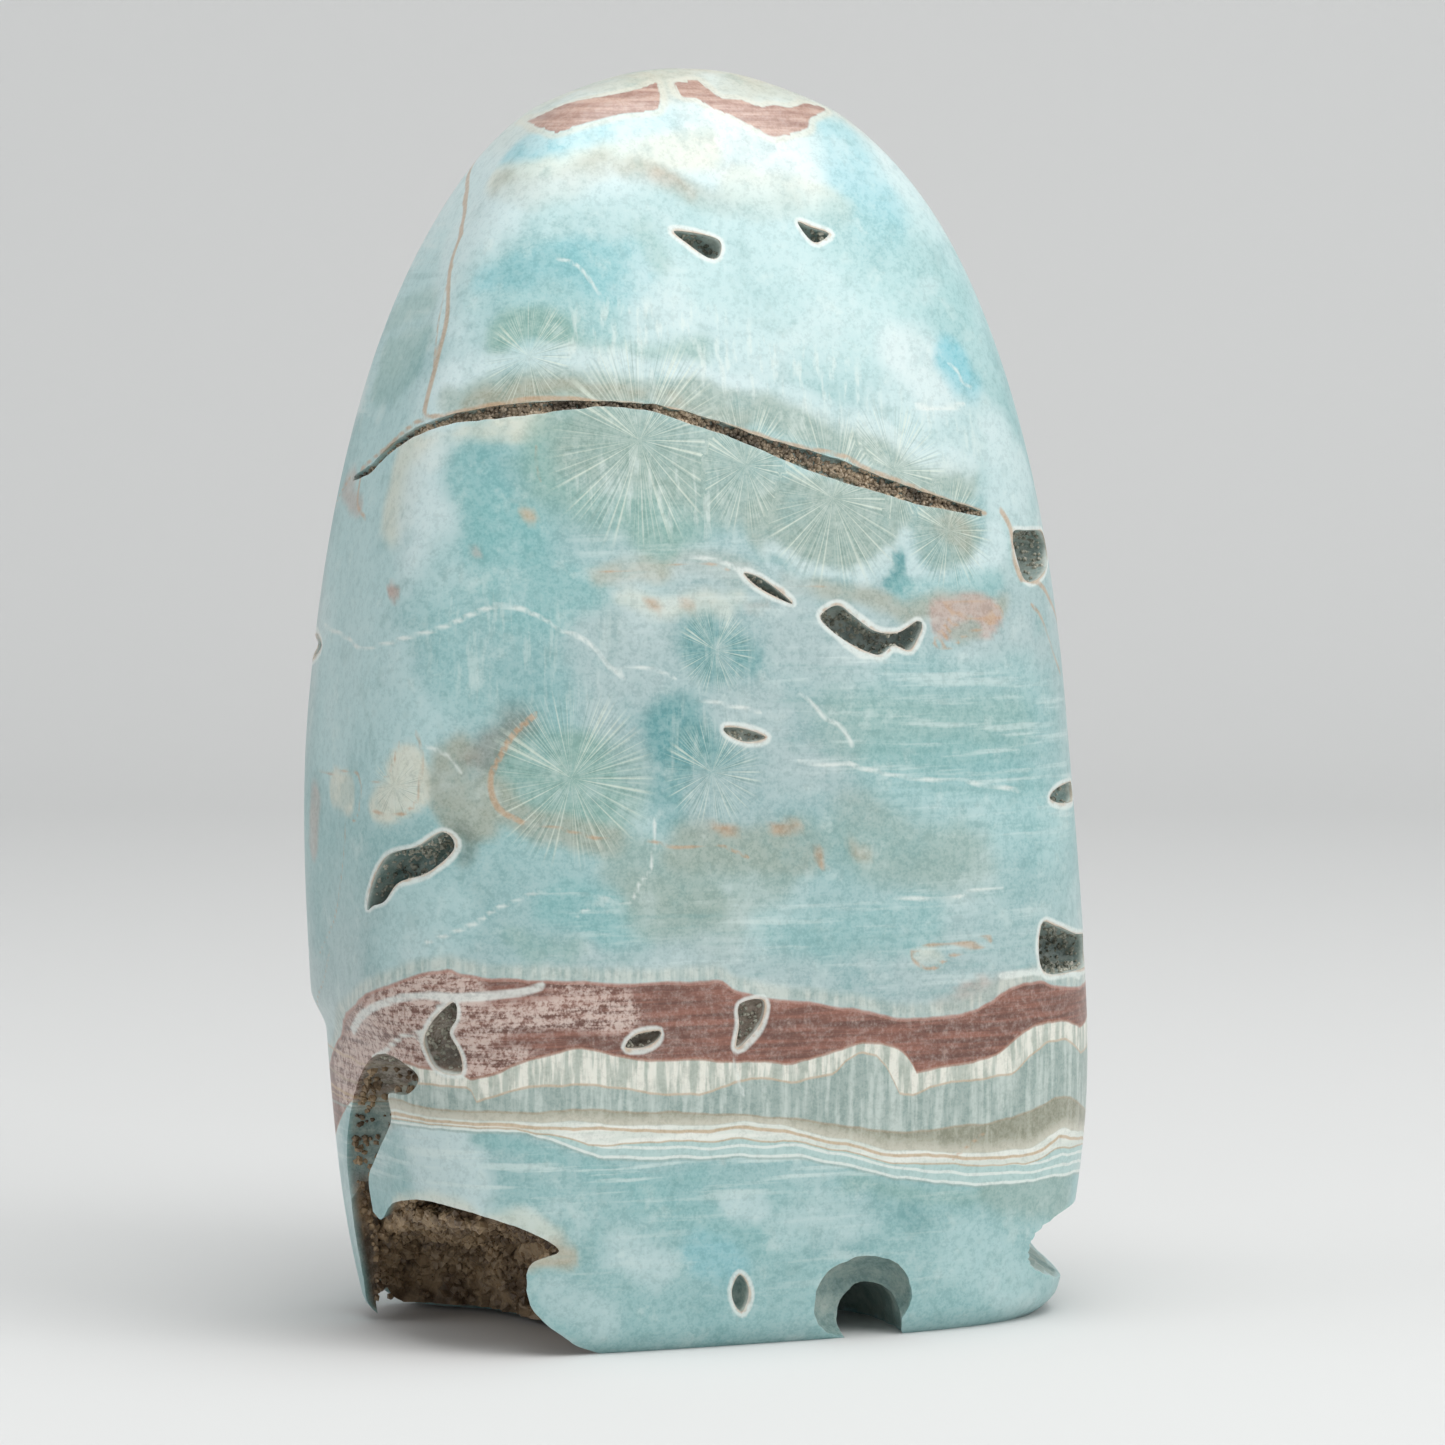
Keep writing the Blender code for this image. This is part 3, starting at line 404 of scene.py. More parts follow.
TAN_VEINS = (
    (0.28, ((475, 160), (466, 198), (462, 231), (452, 263), (448, 315), (436, 364), (425, 412))),
    (0.10, ((455, 263), (443, 300), (433, 384))), (0.35, ((466, 192), (465, 202))), (0.35, ((463, 224), (462, 236))),
    (0.22, ((361, 470), (376, 455), (389, 446), (408, 429), (422, 420), (453, 414), (479, 408), (530, 400), (580, 401),
            (606, 404), (632, 405), (658, 408), (683, 413), (715, 423), (739, 430), (787, 445), (846, 457), (862, 468),
            (908, 484), (948, 501), (985, 513))),
    (0.2, ((351, 476), (343, 489), (333, 510))), (0.2, ((361, 474), (358, 504), (366, 519))),
    (0.12, ((537, 445), (537, 466), (542, 479))), (0.3, ((1001, 509), (1010, 528), (1011, 554), (1020, 579))),
    (0.25, ((1020, 579), (1039, 584), (1050, 600), (1058, 627), (1066, 659))),
    (0.16, ((1031, 605), (1042, 621), (1052, 651), (1060, 675))), (0.14, ((940, 643), (960, 622), (1000, 616))),
    (0.14, ((942, 603), (993, 603), (1001, 616), (988, 624), (964, 635), (951, 648), (932, 643), (953, 613), (942, 603))),
    (0.12, ((955, 612), (975, 618), (992, 612))), (0.16, ((417, 732), (422, 753), (420, 786), (410, 809), (389, 816),
                                                           (374, 809))),
    (0.12, ((399, 742), (394, 763), (384, 778), (366, 783))),
    (0.14, ((318, 770), (338, 773), (354, 770), (361, 783), (359, 814), (351, 824))),
    (0.13, ((346, 819), (343, 862), (336, 913), (320, 954))), (0.14, ((330, 950), (322, 985), (318, 1015))),
    (0.24, ((535, 712), (517, 730), (502, 755), (491, 778), (494, 799), (504, 814), (522, 824))),
    (0.14, ((522, 824), (555, 829), (588, 837), (614, 842), (644, 839), (683, 847), (715, 845), (747, 858))),
    (0.10, ((598, 573), (640, 568), (698, 563), (730, 570))), (0.12, ((762, 584), (803, 584), (830, 589))),
    (0.16, ((910, 950), (934, 945), (964, 944), (983, 936), (991, 939), (980, 947), (948, 957), (929, 968), (913, 960),
            (910, 950))),
    (0.16, ((951, 1157), (965, 1146), (985, 1132))), (0.2, ((628, 1050), (636, 1036), (662, 1031))),
)

# Fans of needles: middle and rim as the photograph shows them, in pixels
SPRAYS = (((572, 778), (650, 790)), ((832, 498), (832, 586)), ((946, 530), (946, 586)), ((640, 440), (640, 545)),
          ((530, 356), (530, 305)), ((893, 470), (893, 404)), ((715, 650), (748, 668)), ((712, 772), (752, 800)),
          ((395, 786), (422, 786)), ((745, 465), (745, 530)))

# Where the stone is fibrous across its layers, where it is streaked along them, and where the band is frosted
TEXTURES = {
    "fibre": ((0.9, 2.6, 2.4, ((600, 345), (680, 345), (760, 370), (830, 395))),
              (0.8, 2.0, 2.5, ((600, 480), (700, 500))), (0.5, 3.0, 4.0, ((480, 640), (560, 650))),
              (0.6, 2.0, 3.0, ((870, 430), (950, 430))), (0.5, 2.0, 3.0, ((720, 640), (700, 770)))),
    "streak": ((0.9, 5.0, 5.0, ((840, 700), (950, 740), (1050, 760))), (0.8, 3.0, 4.0, ((600, 960), (800, 950), (1000, 930))),
               (0.7, 6.0, 6.0, ((370, 360), (400, 300))), (0.6, 3.0, 4.0, ((620, 575), (760, 575))),
               (0.5, 5.0, 5.0, ((600, 1200), (900, 1220)))),
    "frost": ((1.0, 1.3, 0.8, ((470, 1045), (500, 1020), (560, 1010), (620, 1015))), (1.0, 0.7, 0.6, ((470, 1072), (520, 1058))),
              (1.0, 3.5, 1.5, ((440, 1000), (400, 1030), (350, 1080))), (0.8, 0.5, 0.5, ((555, 985), (620, 990)))),
}


def ramp(value, low, high):
    """Rise smoothly from 0 at low to 1 at high."""
    t = np.clip((value - low) / (high - low), 0.0, 1.0)
    return t * t * (3.0 - 2.0 * t)


def girth(z):
    """How wide the block is at height z, as a share of its widest section."""
    dome = (1.0 - np.clip((z - WAIST) / DOME_RISE, 0.0, 1.0) ** DOME_POWER) ** (1.0 / DOME_POWER)
    skirt = (1.0 - np.clip((WAIST - z) / SKIRT_FALL, 0.0, 0.99) ** SKIRT_POWER) ** (1.0 / SKIRT_POWER)
    share = np.where(z >= WAIST, dome, skirt) * (1.0 - CROWN_TAPER * ramp(z, *CROWN_SPAN))
    share = share - FOOT_INSET * np.clip(1.0 - np.maximum(z, 0.0) / FOOT_HEIGHT, 0.0, 1.0) ** 2
    return np.maximum(share, 1e-4)


def middle(z):
    """The x of the block's axis at height z."""
    lean = LEAN_TO_RIGHT * (1.0 - ramp(z, *LEAN_SPAN))
    return CENTRE_X + lean - TOP_LEAN_TO_LEFT * ramp(z, *TOP_LEAN_SPAN)


def left_half(z):
    """The half width to the left of the axis."""
    return HALF_WIDTH * girth(z) - LEFT_STEP * (1.0 - ramp(z, *LEFT_STEP_SPAN))


def corner_power(dx, dy):
    """The superellipse power of the quarter that an offset from the axis is in."""
    return np.where(dy > 0.0, CORNER_BACK, np.where(dx < 0.0, CORNER_FRONT_LEFT, CORNER_FRONT_RIGHT))


def section_point(angle):
    """Points of the widest section, centred, at angles in its own stretched frame."""
    c, s = np.cos(angle), np.sin(angle)
    power = corner_power(c, s)
    r = (np.abs(c) ** power + np.abs(s) ** power) ** (-1.0 / power)
    return r * c, r * s


def section_table():
    """Angles round the widest section and the distance walked along it from the middle of the front."""
    angles = np.linspace(-math.pi * 1.5, math.pi * 0.5, SECTION_STEPS + 1)
    x, y = section_point(angles)
    walked = np.concatenate(([0.0], np.cumsum(np.hypot(np.diff(x) * HALF_WIDTH, np.diff(y) * HALF_DEPTH))))
    return angles, walked - np.interp(-math.pi / 2.0, angles, walked)


ANGLES, WALKED = section_table()
GIRTH_LENGTH = float(WALKED[-1] - WALKED[0])


def skin_points(u, z):
    """The points of the block's skin at face coordinates u, z."""
    u, z = np.asarray(u, float), np.asarray(z, float)
    around = (u - WALKED[0]) % GIRTH_LENGTH + WALKED[0]
    c, s = section_point(np.interp(around, WALKED, ANGLES))
    half = np.where(c < 0.0, left_half(z), HALF_WIDTH * girth(z))
    return np.stack((middle(z) + half * c, HALF_DEPTH * girth(z) * s, z), axis=-1)


def skin_normals(u, z):
    """The outward normals of the skin at face coordinates u, z."""
    u, z = np.asarray(u, float), np.asarray(z, float)
    normal = np.cross(skin_points(u + 0.4, z) - skin_points(u - 0.4, z), skin_points(u, z + 0.4) - skin_points(u, z - 0.4))
    return normal / np.linalg.norm(normal, axis=-1, keepdims=True)


def fullness(places):
    """Below 1 inside the block's section at each place's height, above 1 outside."""
    x, y, z = places[..., 0], places[..., 1], places[..., 2]
    dx = x - middle(z)
    half = np.where(dx < 0.0, left_half(z), HALF_WIDTH * girth(z))
    power = corner_power(dx, y)
    size = (np.abs(dx) / half) ** power + (np.abs(y) / (HALF_DEPTH * girth(z))) ** power
    return np.where((z < 0.0) | (z > HEIGHT), 9.0, size ** (1.0 / power))


def face_coordinates(places):
    """The face coordinates straight outward of some places."""
    z = np.clip(places[..., 2], 0.0, HEIGHT - 0.05)
    dx = places[..., 0] - middle(z)
    half = np.where(dx < 0.0, left_half(z), HALF_WIDTH * girth(z))
    angle = np.arctan2(places[..., 1] / (HALF_DEPTH * girth(z)), dx / half)
    angle = np.where(angle > math.pi / 2.0, angle - math.tau, angle)
    return np.interp(angle, ANGLES, WALKED), z


def camera_axes():
    """The camera's place, and its right, up and forward directions."""
    a, e = math.radians(AZIMUTH), math.radians(ELEVATION)
    back = Vector((math.sin(a) * math.cos(e), -math.cos(a) * math.cos(e), math.sin(e)))
    right = Vector((math.cos(a), math.sin(a), 0.0))
    return TARGET + back * DISTANCE, right, back.cross(right), -back


def seen(pixels):
    """The face coordinates of what the photograph shows at some pixels."""
    place, right, up, forward = (np.array(v) for v in camera_axes())
    spread = math.tan(math.radians(FIELD_OF_VIEW) / 2.0) * 2.0 / PICTURE
    px = np.array(pixels, float) - PICTURE / 2.0
    rays = forward + right * px[:, :1] * spread - up * px[:, 1:] * spread
    reach = np.linspace(DISTANCE - 60.0, DISTANCE + 40.0, 501)
    places = place + rays[:, None, :] * reach[None, :, None]
    size = fullness(places)
    hit = size < 1.0
    first = np.where(hit.any(axis=1), hit.argmax(axis=1), size.argmin(axis=1))
    return np.stack(face_coordinates(places[np.arange(len(px)), first]), axis=-1)


def smooth_line(points, step=0.6, closed=False):
    """A rounded line through some points, in even short steps."""
    p = np.array(points, float)
    if closed:
        p = np.vstack((p[-1:], p, p[:2]))
    else:
        p = np.vstack((2.0 * p[0] - p[1], p, 2.0 * p[-1] - p[-2]))
    line = []
    for i in range(1, len(p) - 2):
        count = max(1, math.ceil(float(np.linalg.norm(p[i + 1] - p[i])) / step))
        t = (np.arange(count) / count)[:, None]
        bend = (2.0 * p[i] + (p[i + 1] - p[i - 1]) * t
                + (2.0 * p[i - 1] - 5.0 * p[i] + 4.0 * p[i + 1] - p[i + 2]) * t ** 2
                + (3.0 * p[i] - p[i - 1] - 3.0 * p[i + 1] + p[i + 2]) * t ** 3) / 2.0
        line.append(bend)
    if not closed:
        line.append(p[-2:-1])
    return np.vstack(line)


def lumps(places, size, seed=0.0):
    """Soft noise, about -1 to 1, with lumps of the given size, at many places."""
    shift = Vector((seed, seed * 0.7, -seed))
    return np.array([noise.noise(Vector(place) / size + shift) for place in places])


def make_object(name, bm):
    """Turn a bmesh in millimetres into an object in metres."""
    bmesh.ops.recalc_face_normals(bm, faces=bm.faces)
    bmesh.ops.scale(bm, vec=(MM, MM, MM), verts=bm.verts)
    mesh = bpy.data.meshes.new(name)
    bm.to_mesh(mesh)
    bm.free()
    item = bpy.data.objects.new(name, mesh)
    bpy.context.scene.collection.objects.link(item)
    return item


def set_places(item_bm, places):
    """Move the vertices of a bmesh to new places."""
    for vert, place in zip(item_bm.verts, places):
        vert.co = place


def make_block(name, rings, columns, inset=0.0, floor=0.0):
    """The polished block, or a copy whose skin lies inset inside it, as an even mesh."""
    side = np.sin(np.linspace(0.0, math.pi / 2.0, 4000))
    side = FOOT_HEIGHT + (HEIGHT - FOOT_HEIGHT) * side
    walk = np.concatenate(([0.0], np.cumsum(np.hypot(np.diff(side), np.diff(girth(side)) * (HALF_WIDTH + HALF_DEPTH) / 2.0))))
    heights = np.concatenate((np.full(BASE_RINGS, floor), floor + FOOT_HEIGHT * np.arange(FOOT_RINGS) / FOOT_RINGS,
                              np.interp(np.linspace(0.0, walk[-1], rings), walk, side)))
    bm = bmesh.new()
    bmesh.ops.create_uvsphere(bm, u_segments=len(columns), v_segments=len(heights) - 1, radius=1.0)
    ball = np.array([vert.co for vert in bm.verts])
    ring = np.rint((np.arcsin(np.clip(ball[:, 2], -1.0, 1.0)) / math.pi + 0.5) * (len(heights) - 1)).astype(int)
    column = np.rint((np.arctan2(ball[:, 1], ball[:, 0]) / math.tau) * len(columns)).astype(int) % len(columns)
    z = np.minimum(heights[ring], HEIGHT - inset)
    axis = np.stack((middle(z), np.zeros(len(z)), z), axis=-1)
    outward = skin_points(np.array(columns)[column], z) - axis
    length = np.linalg.norm(outward, axis=-1)
    reach = np.maximum(length - inset, 0.0) * np.minimum(ring / BASE_RINGS, 1.0) / np.maximum(length, 1e-6)
    set_places(bm, axis + outward * reach[:, None])
    bmesh.ops.remove_doubles(bm, verts=bm.verts, dist=0.004)
    return make_object(name, bm)


def fine_columns():
    """Where the columns of the fine mesh stand round the block, closer together on the front."""
    front = np.arange(FRONT_SPAN[0], FRONT_SPAN[1], FRONT_STEP)
    back = np.arange(FRONT_SPAN[1], FRONT_SPAN[0] + GIRTH_LENGTH - BACK_STEP * 0.6, BACK_STEP)
    return np.concatenate((front, back))


def vault_field(places):
    """Below 0 under the rough vault of the base hollow, at many places."""
    offset = np.abs(places - np.array(CAVE_CENTRE)) / np.array(CAVE_RADII)
    vault = ((offset ** CAVE_POWER).sum(axis=-1) ** (1.0 / CAVE_POWER) - 1.0) * min(CAVE_RADII)
    return vault + CAVE_ROUGHNESS * lumps(places, 5.0)


def cave_field(places):
    """Below 0 in the base hollow: the vault, stopped behind the left and the front wall."""
    return np.maximum(vault_field(places), np.maximum(SIDE_WALL_X - places[:, 0], FRONT_WALL_Y - places[:, 1]))


def cave_ball(name, field, margin, lining, detail):
    """A ball pushed out to the edge of a field, less a margin and the depth of a lining."""
    bm = bmesh.new()
    bmesh.ops.create_icosphere(bm, subdivisions=detail, radius=1.0)
    ways = np.array([vert.co for vert in bm.verts])
    heart = np.array(CAVE_HEART)
    low, high = np.zeros(len(ways)), np.full(len(ways), CAVE_REACH)
    open_still = np.ones(len(ways), bool)
    for step in range(1, 41):
        reach = CAVE_REACH * step / 40
        out = open_still & (field(heart + ways * reach) + margin > 0.0)
        high[out] = reach
        low[out] = reach - CAVE_REACH / 40
        open_still &= ~out
    for _ in range(9):
        half = (low + high) / 2.0
        out = field(heart + ways * half[:, None]) + margin > 0.0
        high = np.where(out, half, high)
        low = np.where(out, low, half)
    set_places(bm, heart + ways * (low - lining(ways))[:, None])
    return make_object(name, bm)


def add_ring(bm, places):
    """Add a closed loop of vertices and edges through some places."""
    verts = [bm.verts.new(place) for place in places]
    return [bm.edges.new((verts[i - 1], verts[i])) for i in range(len(verts))]


def loft(name, rings):
    """A closed solid through rings of as many points each."""
    bm = bmesh.new()
    loops = [add_ring(bm, ring) for ring in rings]
    for lower, upper in zip(loops, loops[1:]):
        bmesh.ops.bridge_loops(bm, edges=lower + upper)
    for loop in (loops[0], loops[-1]):
        bmesh.ops.contextual_create(bm, geom=loop)
    bmesh.ops.triangulate(bm, faces=bm.faces)
    return make_object(name, bm)


def make_pit(name, outline, depth, floor, lift, seed):
    """A rough pit with the outline's mouth, steep at the skin and rounding to a smaller floor."""
    line = smooth_line(outline, OUTLINE_STEP, closed=True)
    mean_u, mean_z = (float(v) for v in np.mean(np.array(outline), axis=0))
    inward = -skin_normals(mean_u, mean_z)
    mouth = skin_points(line[:, 0], line[:, 1])
    centre = skin_points(mean_u, mean_z)
    rings = [mouth - inward * lift]
    for share in (0.0, 0.12, 0.3, 0.5, 0.7, 0.88, 1.0):
        scale = floor + (1.0 - floor) * math.sqrt(max(1.0 - share ** 2, 0.0))
        ring = centre + (mouth - centre) * scale + inward * share * depth
        rough = (lumps(ring, 0.9, seed) * 0.28 + lumps(ring, 0.4, seed + 5.0) * 0.12) * (0.25 + share)
        ring = ring + (ring - centre - inward * share * depth) * 0.12 * rough[:, None] + inward * rough[:, None] * 0.8
        rings.append(ring)
    rings.append((rings[-1] - centre) * 0.5 + centre + inward * depth * 0.5 + inward * 0.05)
    return loft(name, rings)


def make_blob(name, seed):
    """A rough ellipsoid that cuts one of the smaller hollows."""
    centre, radii, turn, roughness = BLOBS[name]
    bm = bmesh.new()
    bmesh.ops.create_icosphere(bm, subdivisions=BLOB_DETAIL, radius=1.0)
    turned = np.array(Matrix.Rotation(math.radians(turn), 3, "Z"))
    offset = (np.array([vert.co for vert in bm.verts]) * np.array(radii)) @ turned.T
    places = np.array(centre) + offset
    out = offset / np.linalg.norm(offset, axis=-1, keepdims=True)
    rough = roughness * lumps(places, 2.5) + 0.12 * lumps(places, 0.7, seed)
    set_places(bm, places + out * rough[:, None])
    return make_object(name, bm)


def seam_line():
    """The seam in short steps: u, height of its middle, height of its mouth."""
    given = np.array(SEAM)
    u = np.arange(given[0, 0], given[-1, 0], 0.4)
    z = np.interp(u, given[:, 0], given[:, 1])
    mouth = np.interp(u, given[:, 0], given[:, 2])
    return u, z, mouth


def make_seam():
    """The shallow groove of the seam, with a ragged edge."""
    u, z, mouth = seam_line()
    skin = skin_points(u, z)
    ragged = lumps(skin, 1.1, 3.0) * 0.3
    rings = []
    for i in range(len(u)):
        outward = skin_normals(u[i], z[i])
        top = skin_points(u[i], z[i] + mouth[i] / 2.0 + 0.3 * ragged[i])
        bottom = skin_points(u[i], z[i] - mouth[i] / 2.0 - 0.3 * ragged[-1 - i])
        floor = SEAM_DEPTH * (0.75 + 0.5 * ragged[i])
        rings.append([top + outward, bottom + outward, bottom - outward * floor, top - outward * floor])
    return loft("open_seam", rings)


def cut(item, cutter, operation="DIFFERENCE", solver="MANIFOLD"):
    """Cut an object with another one, which is then taken away."""
    modifier = item.modifiers.new(cutter.name, "BOOLEAN")
    modifier.operation = operation
    modifier.object = cutter
    modifier.solver = solver
    graph = bpy.context.evaluated_depsgraph_get()
    mesh = bpy.data.meshes.new_from_object(item.evaluated_get(graph))
    old = item.data
    item.modifiers.clear()
    item.data = mesh
    bpy.data.meshes.remove(old)
    bpy.data.objects.remove(cutter, do_unlink=True)


def line_distance(places, line):
    """How far each place is from the nearest point of a line, looking only near it."""
    distance = np.full(len(places), 99.0)
    low, high = line.min(axis=0) - 14.0, line.max(axis=0) + 14.0
    near = np.flatnonzero(((places > low) & (places < high)).all(axis=1))
    best = np.full(len(near), 99.0)
    starts, ends = (line[:-1], line[1:]) if len(line) > 1 else (line, line)
    for start, end in zip(starts, ends):
        along = end - start
        t = np.clip(((places[near] - start) @ along) / max(float(along @ along), 1e-9), 0.0, 1.0)
        best = np.minimum(best, np.linalg.norm(places[near] - start - t[:, None] * along, axis=1))
    distance[near] = best
    return distance


def lay_patches(places, patches, start, find):
    """Lay soft patches of colour over a start colour, in order."""
    tint = start
    for name, strength, width, soft, points in patches:
        line = find(points)
        line = smooth_line(line, 2.0)
        share = strength * (1.0 - ramp(line_distance(places, skin_points(line[:, 0], line[:, 1])), width, width + soft))
        tint = tint * (1.0 - share[:, None]) + np.array(PALETTE[name]) * share[:, None]
    return tint


def veins(places, lines):
    """Distance to the nearest vein, less its half width."""
    best = np.full(len(places), 9.0)
    for width, points in lines:
        line = smooth_line(seen(points), 0.8)
        best = np.minimum(best, line_distance(places, skin_points(line[:, 0], line[:, 1])) - width)
    return best


def edge_height(name, u):
    """The height of an edge between two bands at each u."""
    front, behind = EDGES[name]
    points = np.vstack((seen(front), np.array(behind)))
    order = points[np.argsort(points[:, 0])]
    first, last = order[0], order[-1]
    ring = np.vstack(((last[0] - GIRTH_LENGTH, last[1]), order, (first[0] + GIRTH_LENGTH, first[1])))
    return np.interp(u, ring[:, 0], ring[:, 1])


def inside(u, z, outline):
    """Which places lie inside an outline in face coordinates."""
    within = np.zeros(len(u), bool)
    for (u0, z0), (u1, z1) in zip(outline, np.roll(outline, -1, axis=0)):
        crosses = (z0 > z) != (z1 > z)
        within ^= crosses & (u < (u1 - u0) * (z - z0) / (z1 - z0 if z1 != z0 else 1e-9) + u0)
    return within


def spray_field(places, u, z):
    """Direction and strength of the needles that fan from the nearest spray."""
    field = np.zeros((len(places), 3))
    for ends in SPRAYS:
        (u0, z0), (u1, z1) = seen(ends)
        radius = math.hypot(u1 - u0, z1 - z0)
        du, dz = (u - u0) / radius, (z - z0) / radius
        strength = 1.0 - ramp(np.hypot(du, dz), 0.75, 1.15)
        front = np.abs(u - u0) < 30.0
        take = front & (strength > field[:, 2])
        field[take] = np.stack((du, dz, strength), axis=-1)[take]
    return field


def add_attribute(mesh, name, values):
    """Store three numbers per vertex."""
    layer = mesh.attributes.new(name, "FLOAT_VECTOR", "POINT")
    layer.data.foreach_set("vector", np.ascontiguousarray(values, dtype=np.float32).ravel())


def stack(*columns):
    """Columns side by side."""
    return np.stack(columns, axis=-1)


def mark_body(body):
    """Work out the colours, bands, veins and textures of the stone, vertex by vertex; the colours also carry a painted
    sheen along the left ridge.
    """
    mesh = body.data
    places = np.empty(len(mesh.vertices) * 3, dtype=np.float32)
    mesh.vertices.foreach_get("co", places)
    places = places.reshape(-1, 3).astype(float) / MM
    u, z = face_coordinates(places)
    skin = skin_points(u, z)
    depth = np.linalg.norm(skin - places, axis=1)
    depth = np.where((places[:, 2] < 0.2) | (places[:, 2] > CROWN_LEVEL), 0.0, depth)
    warp = stack(lumps(places, 6.0, 1.0), lumps(places, 6.0, 2.0), lumps(places, 6.0, 3.0)) * 1.0
    warp += stack(lumps(places, 2.0, 4.0), lumps(places, 2.0, 5.0), lumps(places, 2.0, 6.0)) * 0.45
    heights = [h for h, name in GROUND]
    colours = np.array([PALETTE[name] for h, name in GROUND])
    level = z + 2.0 * warp[:, 2]
    tint = stack(*(np.interp(level, heights, colours[:, i]) for i in range(3)))
    moved = places + warp
    tint = lay_patches(moved, HIDDEN_PATCHES, tint, lambda points: np.array(points, float))
    # The front patches include a painted sheen along the left ridge
    tint = lay_patches(moved, PATCHES, tint, seen)
    chance = random.Random(7)
    scatter = []
    for _ in range(46):
        at_u, at_z = chance.uniform(46.0, 128.0), chance.uniform(36.0, 104.0)
        run = chance.uniform(2.0, 12.0)
        name = chance.choice(("turquoise", "light", "haze", "moss", "pale", "cream", "green", "white"))
        scatter.append((name, chance.uniform(0.2, 0.6), chance.uniform(0.3, 2.0), chance.uniform(0.8, 3.0),
                        ((at_u, at_z), (at_u + run, at_z + chance.uniform(-2.0, 2.0)))))
    tint = lay_patches(moved, scatter, tint, lambda points: np.array(points, float))
    add_attribute(mesh, "tint", tint)
    small = places + warp * 0.25
    pale, tan = veins(small, PALE_VEINS), veins(small, TAN_VEINS)
    for outline, pit_depth, floor in PITS.values():
        ring = smooth_line(outline, 0.8, closed=True)
        ring = np.vstack((ring, ring[:1]))
        rim = line_distance(small, skin_points(ring[:, 0], ring[:, 1]))
        tan = np.minimum(tan, rim - 0.12)
        pale = np.minimum(pale, rim - 0.42)
    add_attribute(mesh, "veins", stack(pale, tan, depth))
    wobble = lumps(places, 3.0, 8.0) * 0.22 + lumps(places, 1.0, 9.0) * 0.1
    gap = {name: z + wobble - edge_height(name, u) for name in EDGES}
    add_attribute(mesh, "low_edges", stack(gap["foot"], gap["hairline"], gap["tan_line"]))
    add_attribute(mesh, "mid_edges", stack(gap["cream"], gap["olive"], gap["dome_line"]))
    crown = np.full(len(u), 9.0)
    for outline in CROWN_BANDS:
        ring = seen(outline)
        line = smooth_line(np.vstack((ring, ring[:1])), 0.8)
        rim = line_distance(small, skin_points(line[:, 0], line[:, 1]))
        crown = np.minimum(crown, np.where(inside(u, z, ring), -rim, rim))
    crown = np.where((u > 42.0) | (u < -62.0), np.abs(z - 107.0) - 0.9, crown)
    add_attribute(mesh, "high_edges", stack(gap["band_bottom"], gap["band_top"], crown))
    add_attribute(mesh, "spray", spray_field(places, u, z))
    textures = []
    for strokes in TEXTURES.values():
        weight = np.zeros(len(u))
        for strength, width, soft, points in strokes:
            line = smooth_line(seen(points), 2.0)
            far = line_distance(moved, skin_points(line[:, 0], line[:, 1]))
            weight = np.maximum(weight, strength * (1.0 - ramp(far, width, width + soft)))
        textures.append(weight)
    add_attribute(mesh, "texture", stack(*textures))
    left = 1.0 - ramp(places[:, 0], -20.0, -13.0)
    cave = left * (1.0 - ramp(places[:, 2], 12.6, 14.6)) * ramp(depth, 0.25, 0.8)
    add_attribute(mesh, "hollow", stack(cave, ramp(depth, 0.12, 0.5), z))


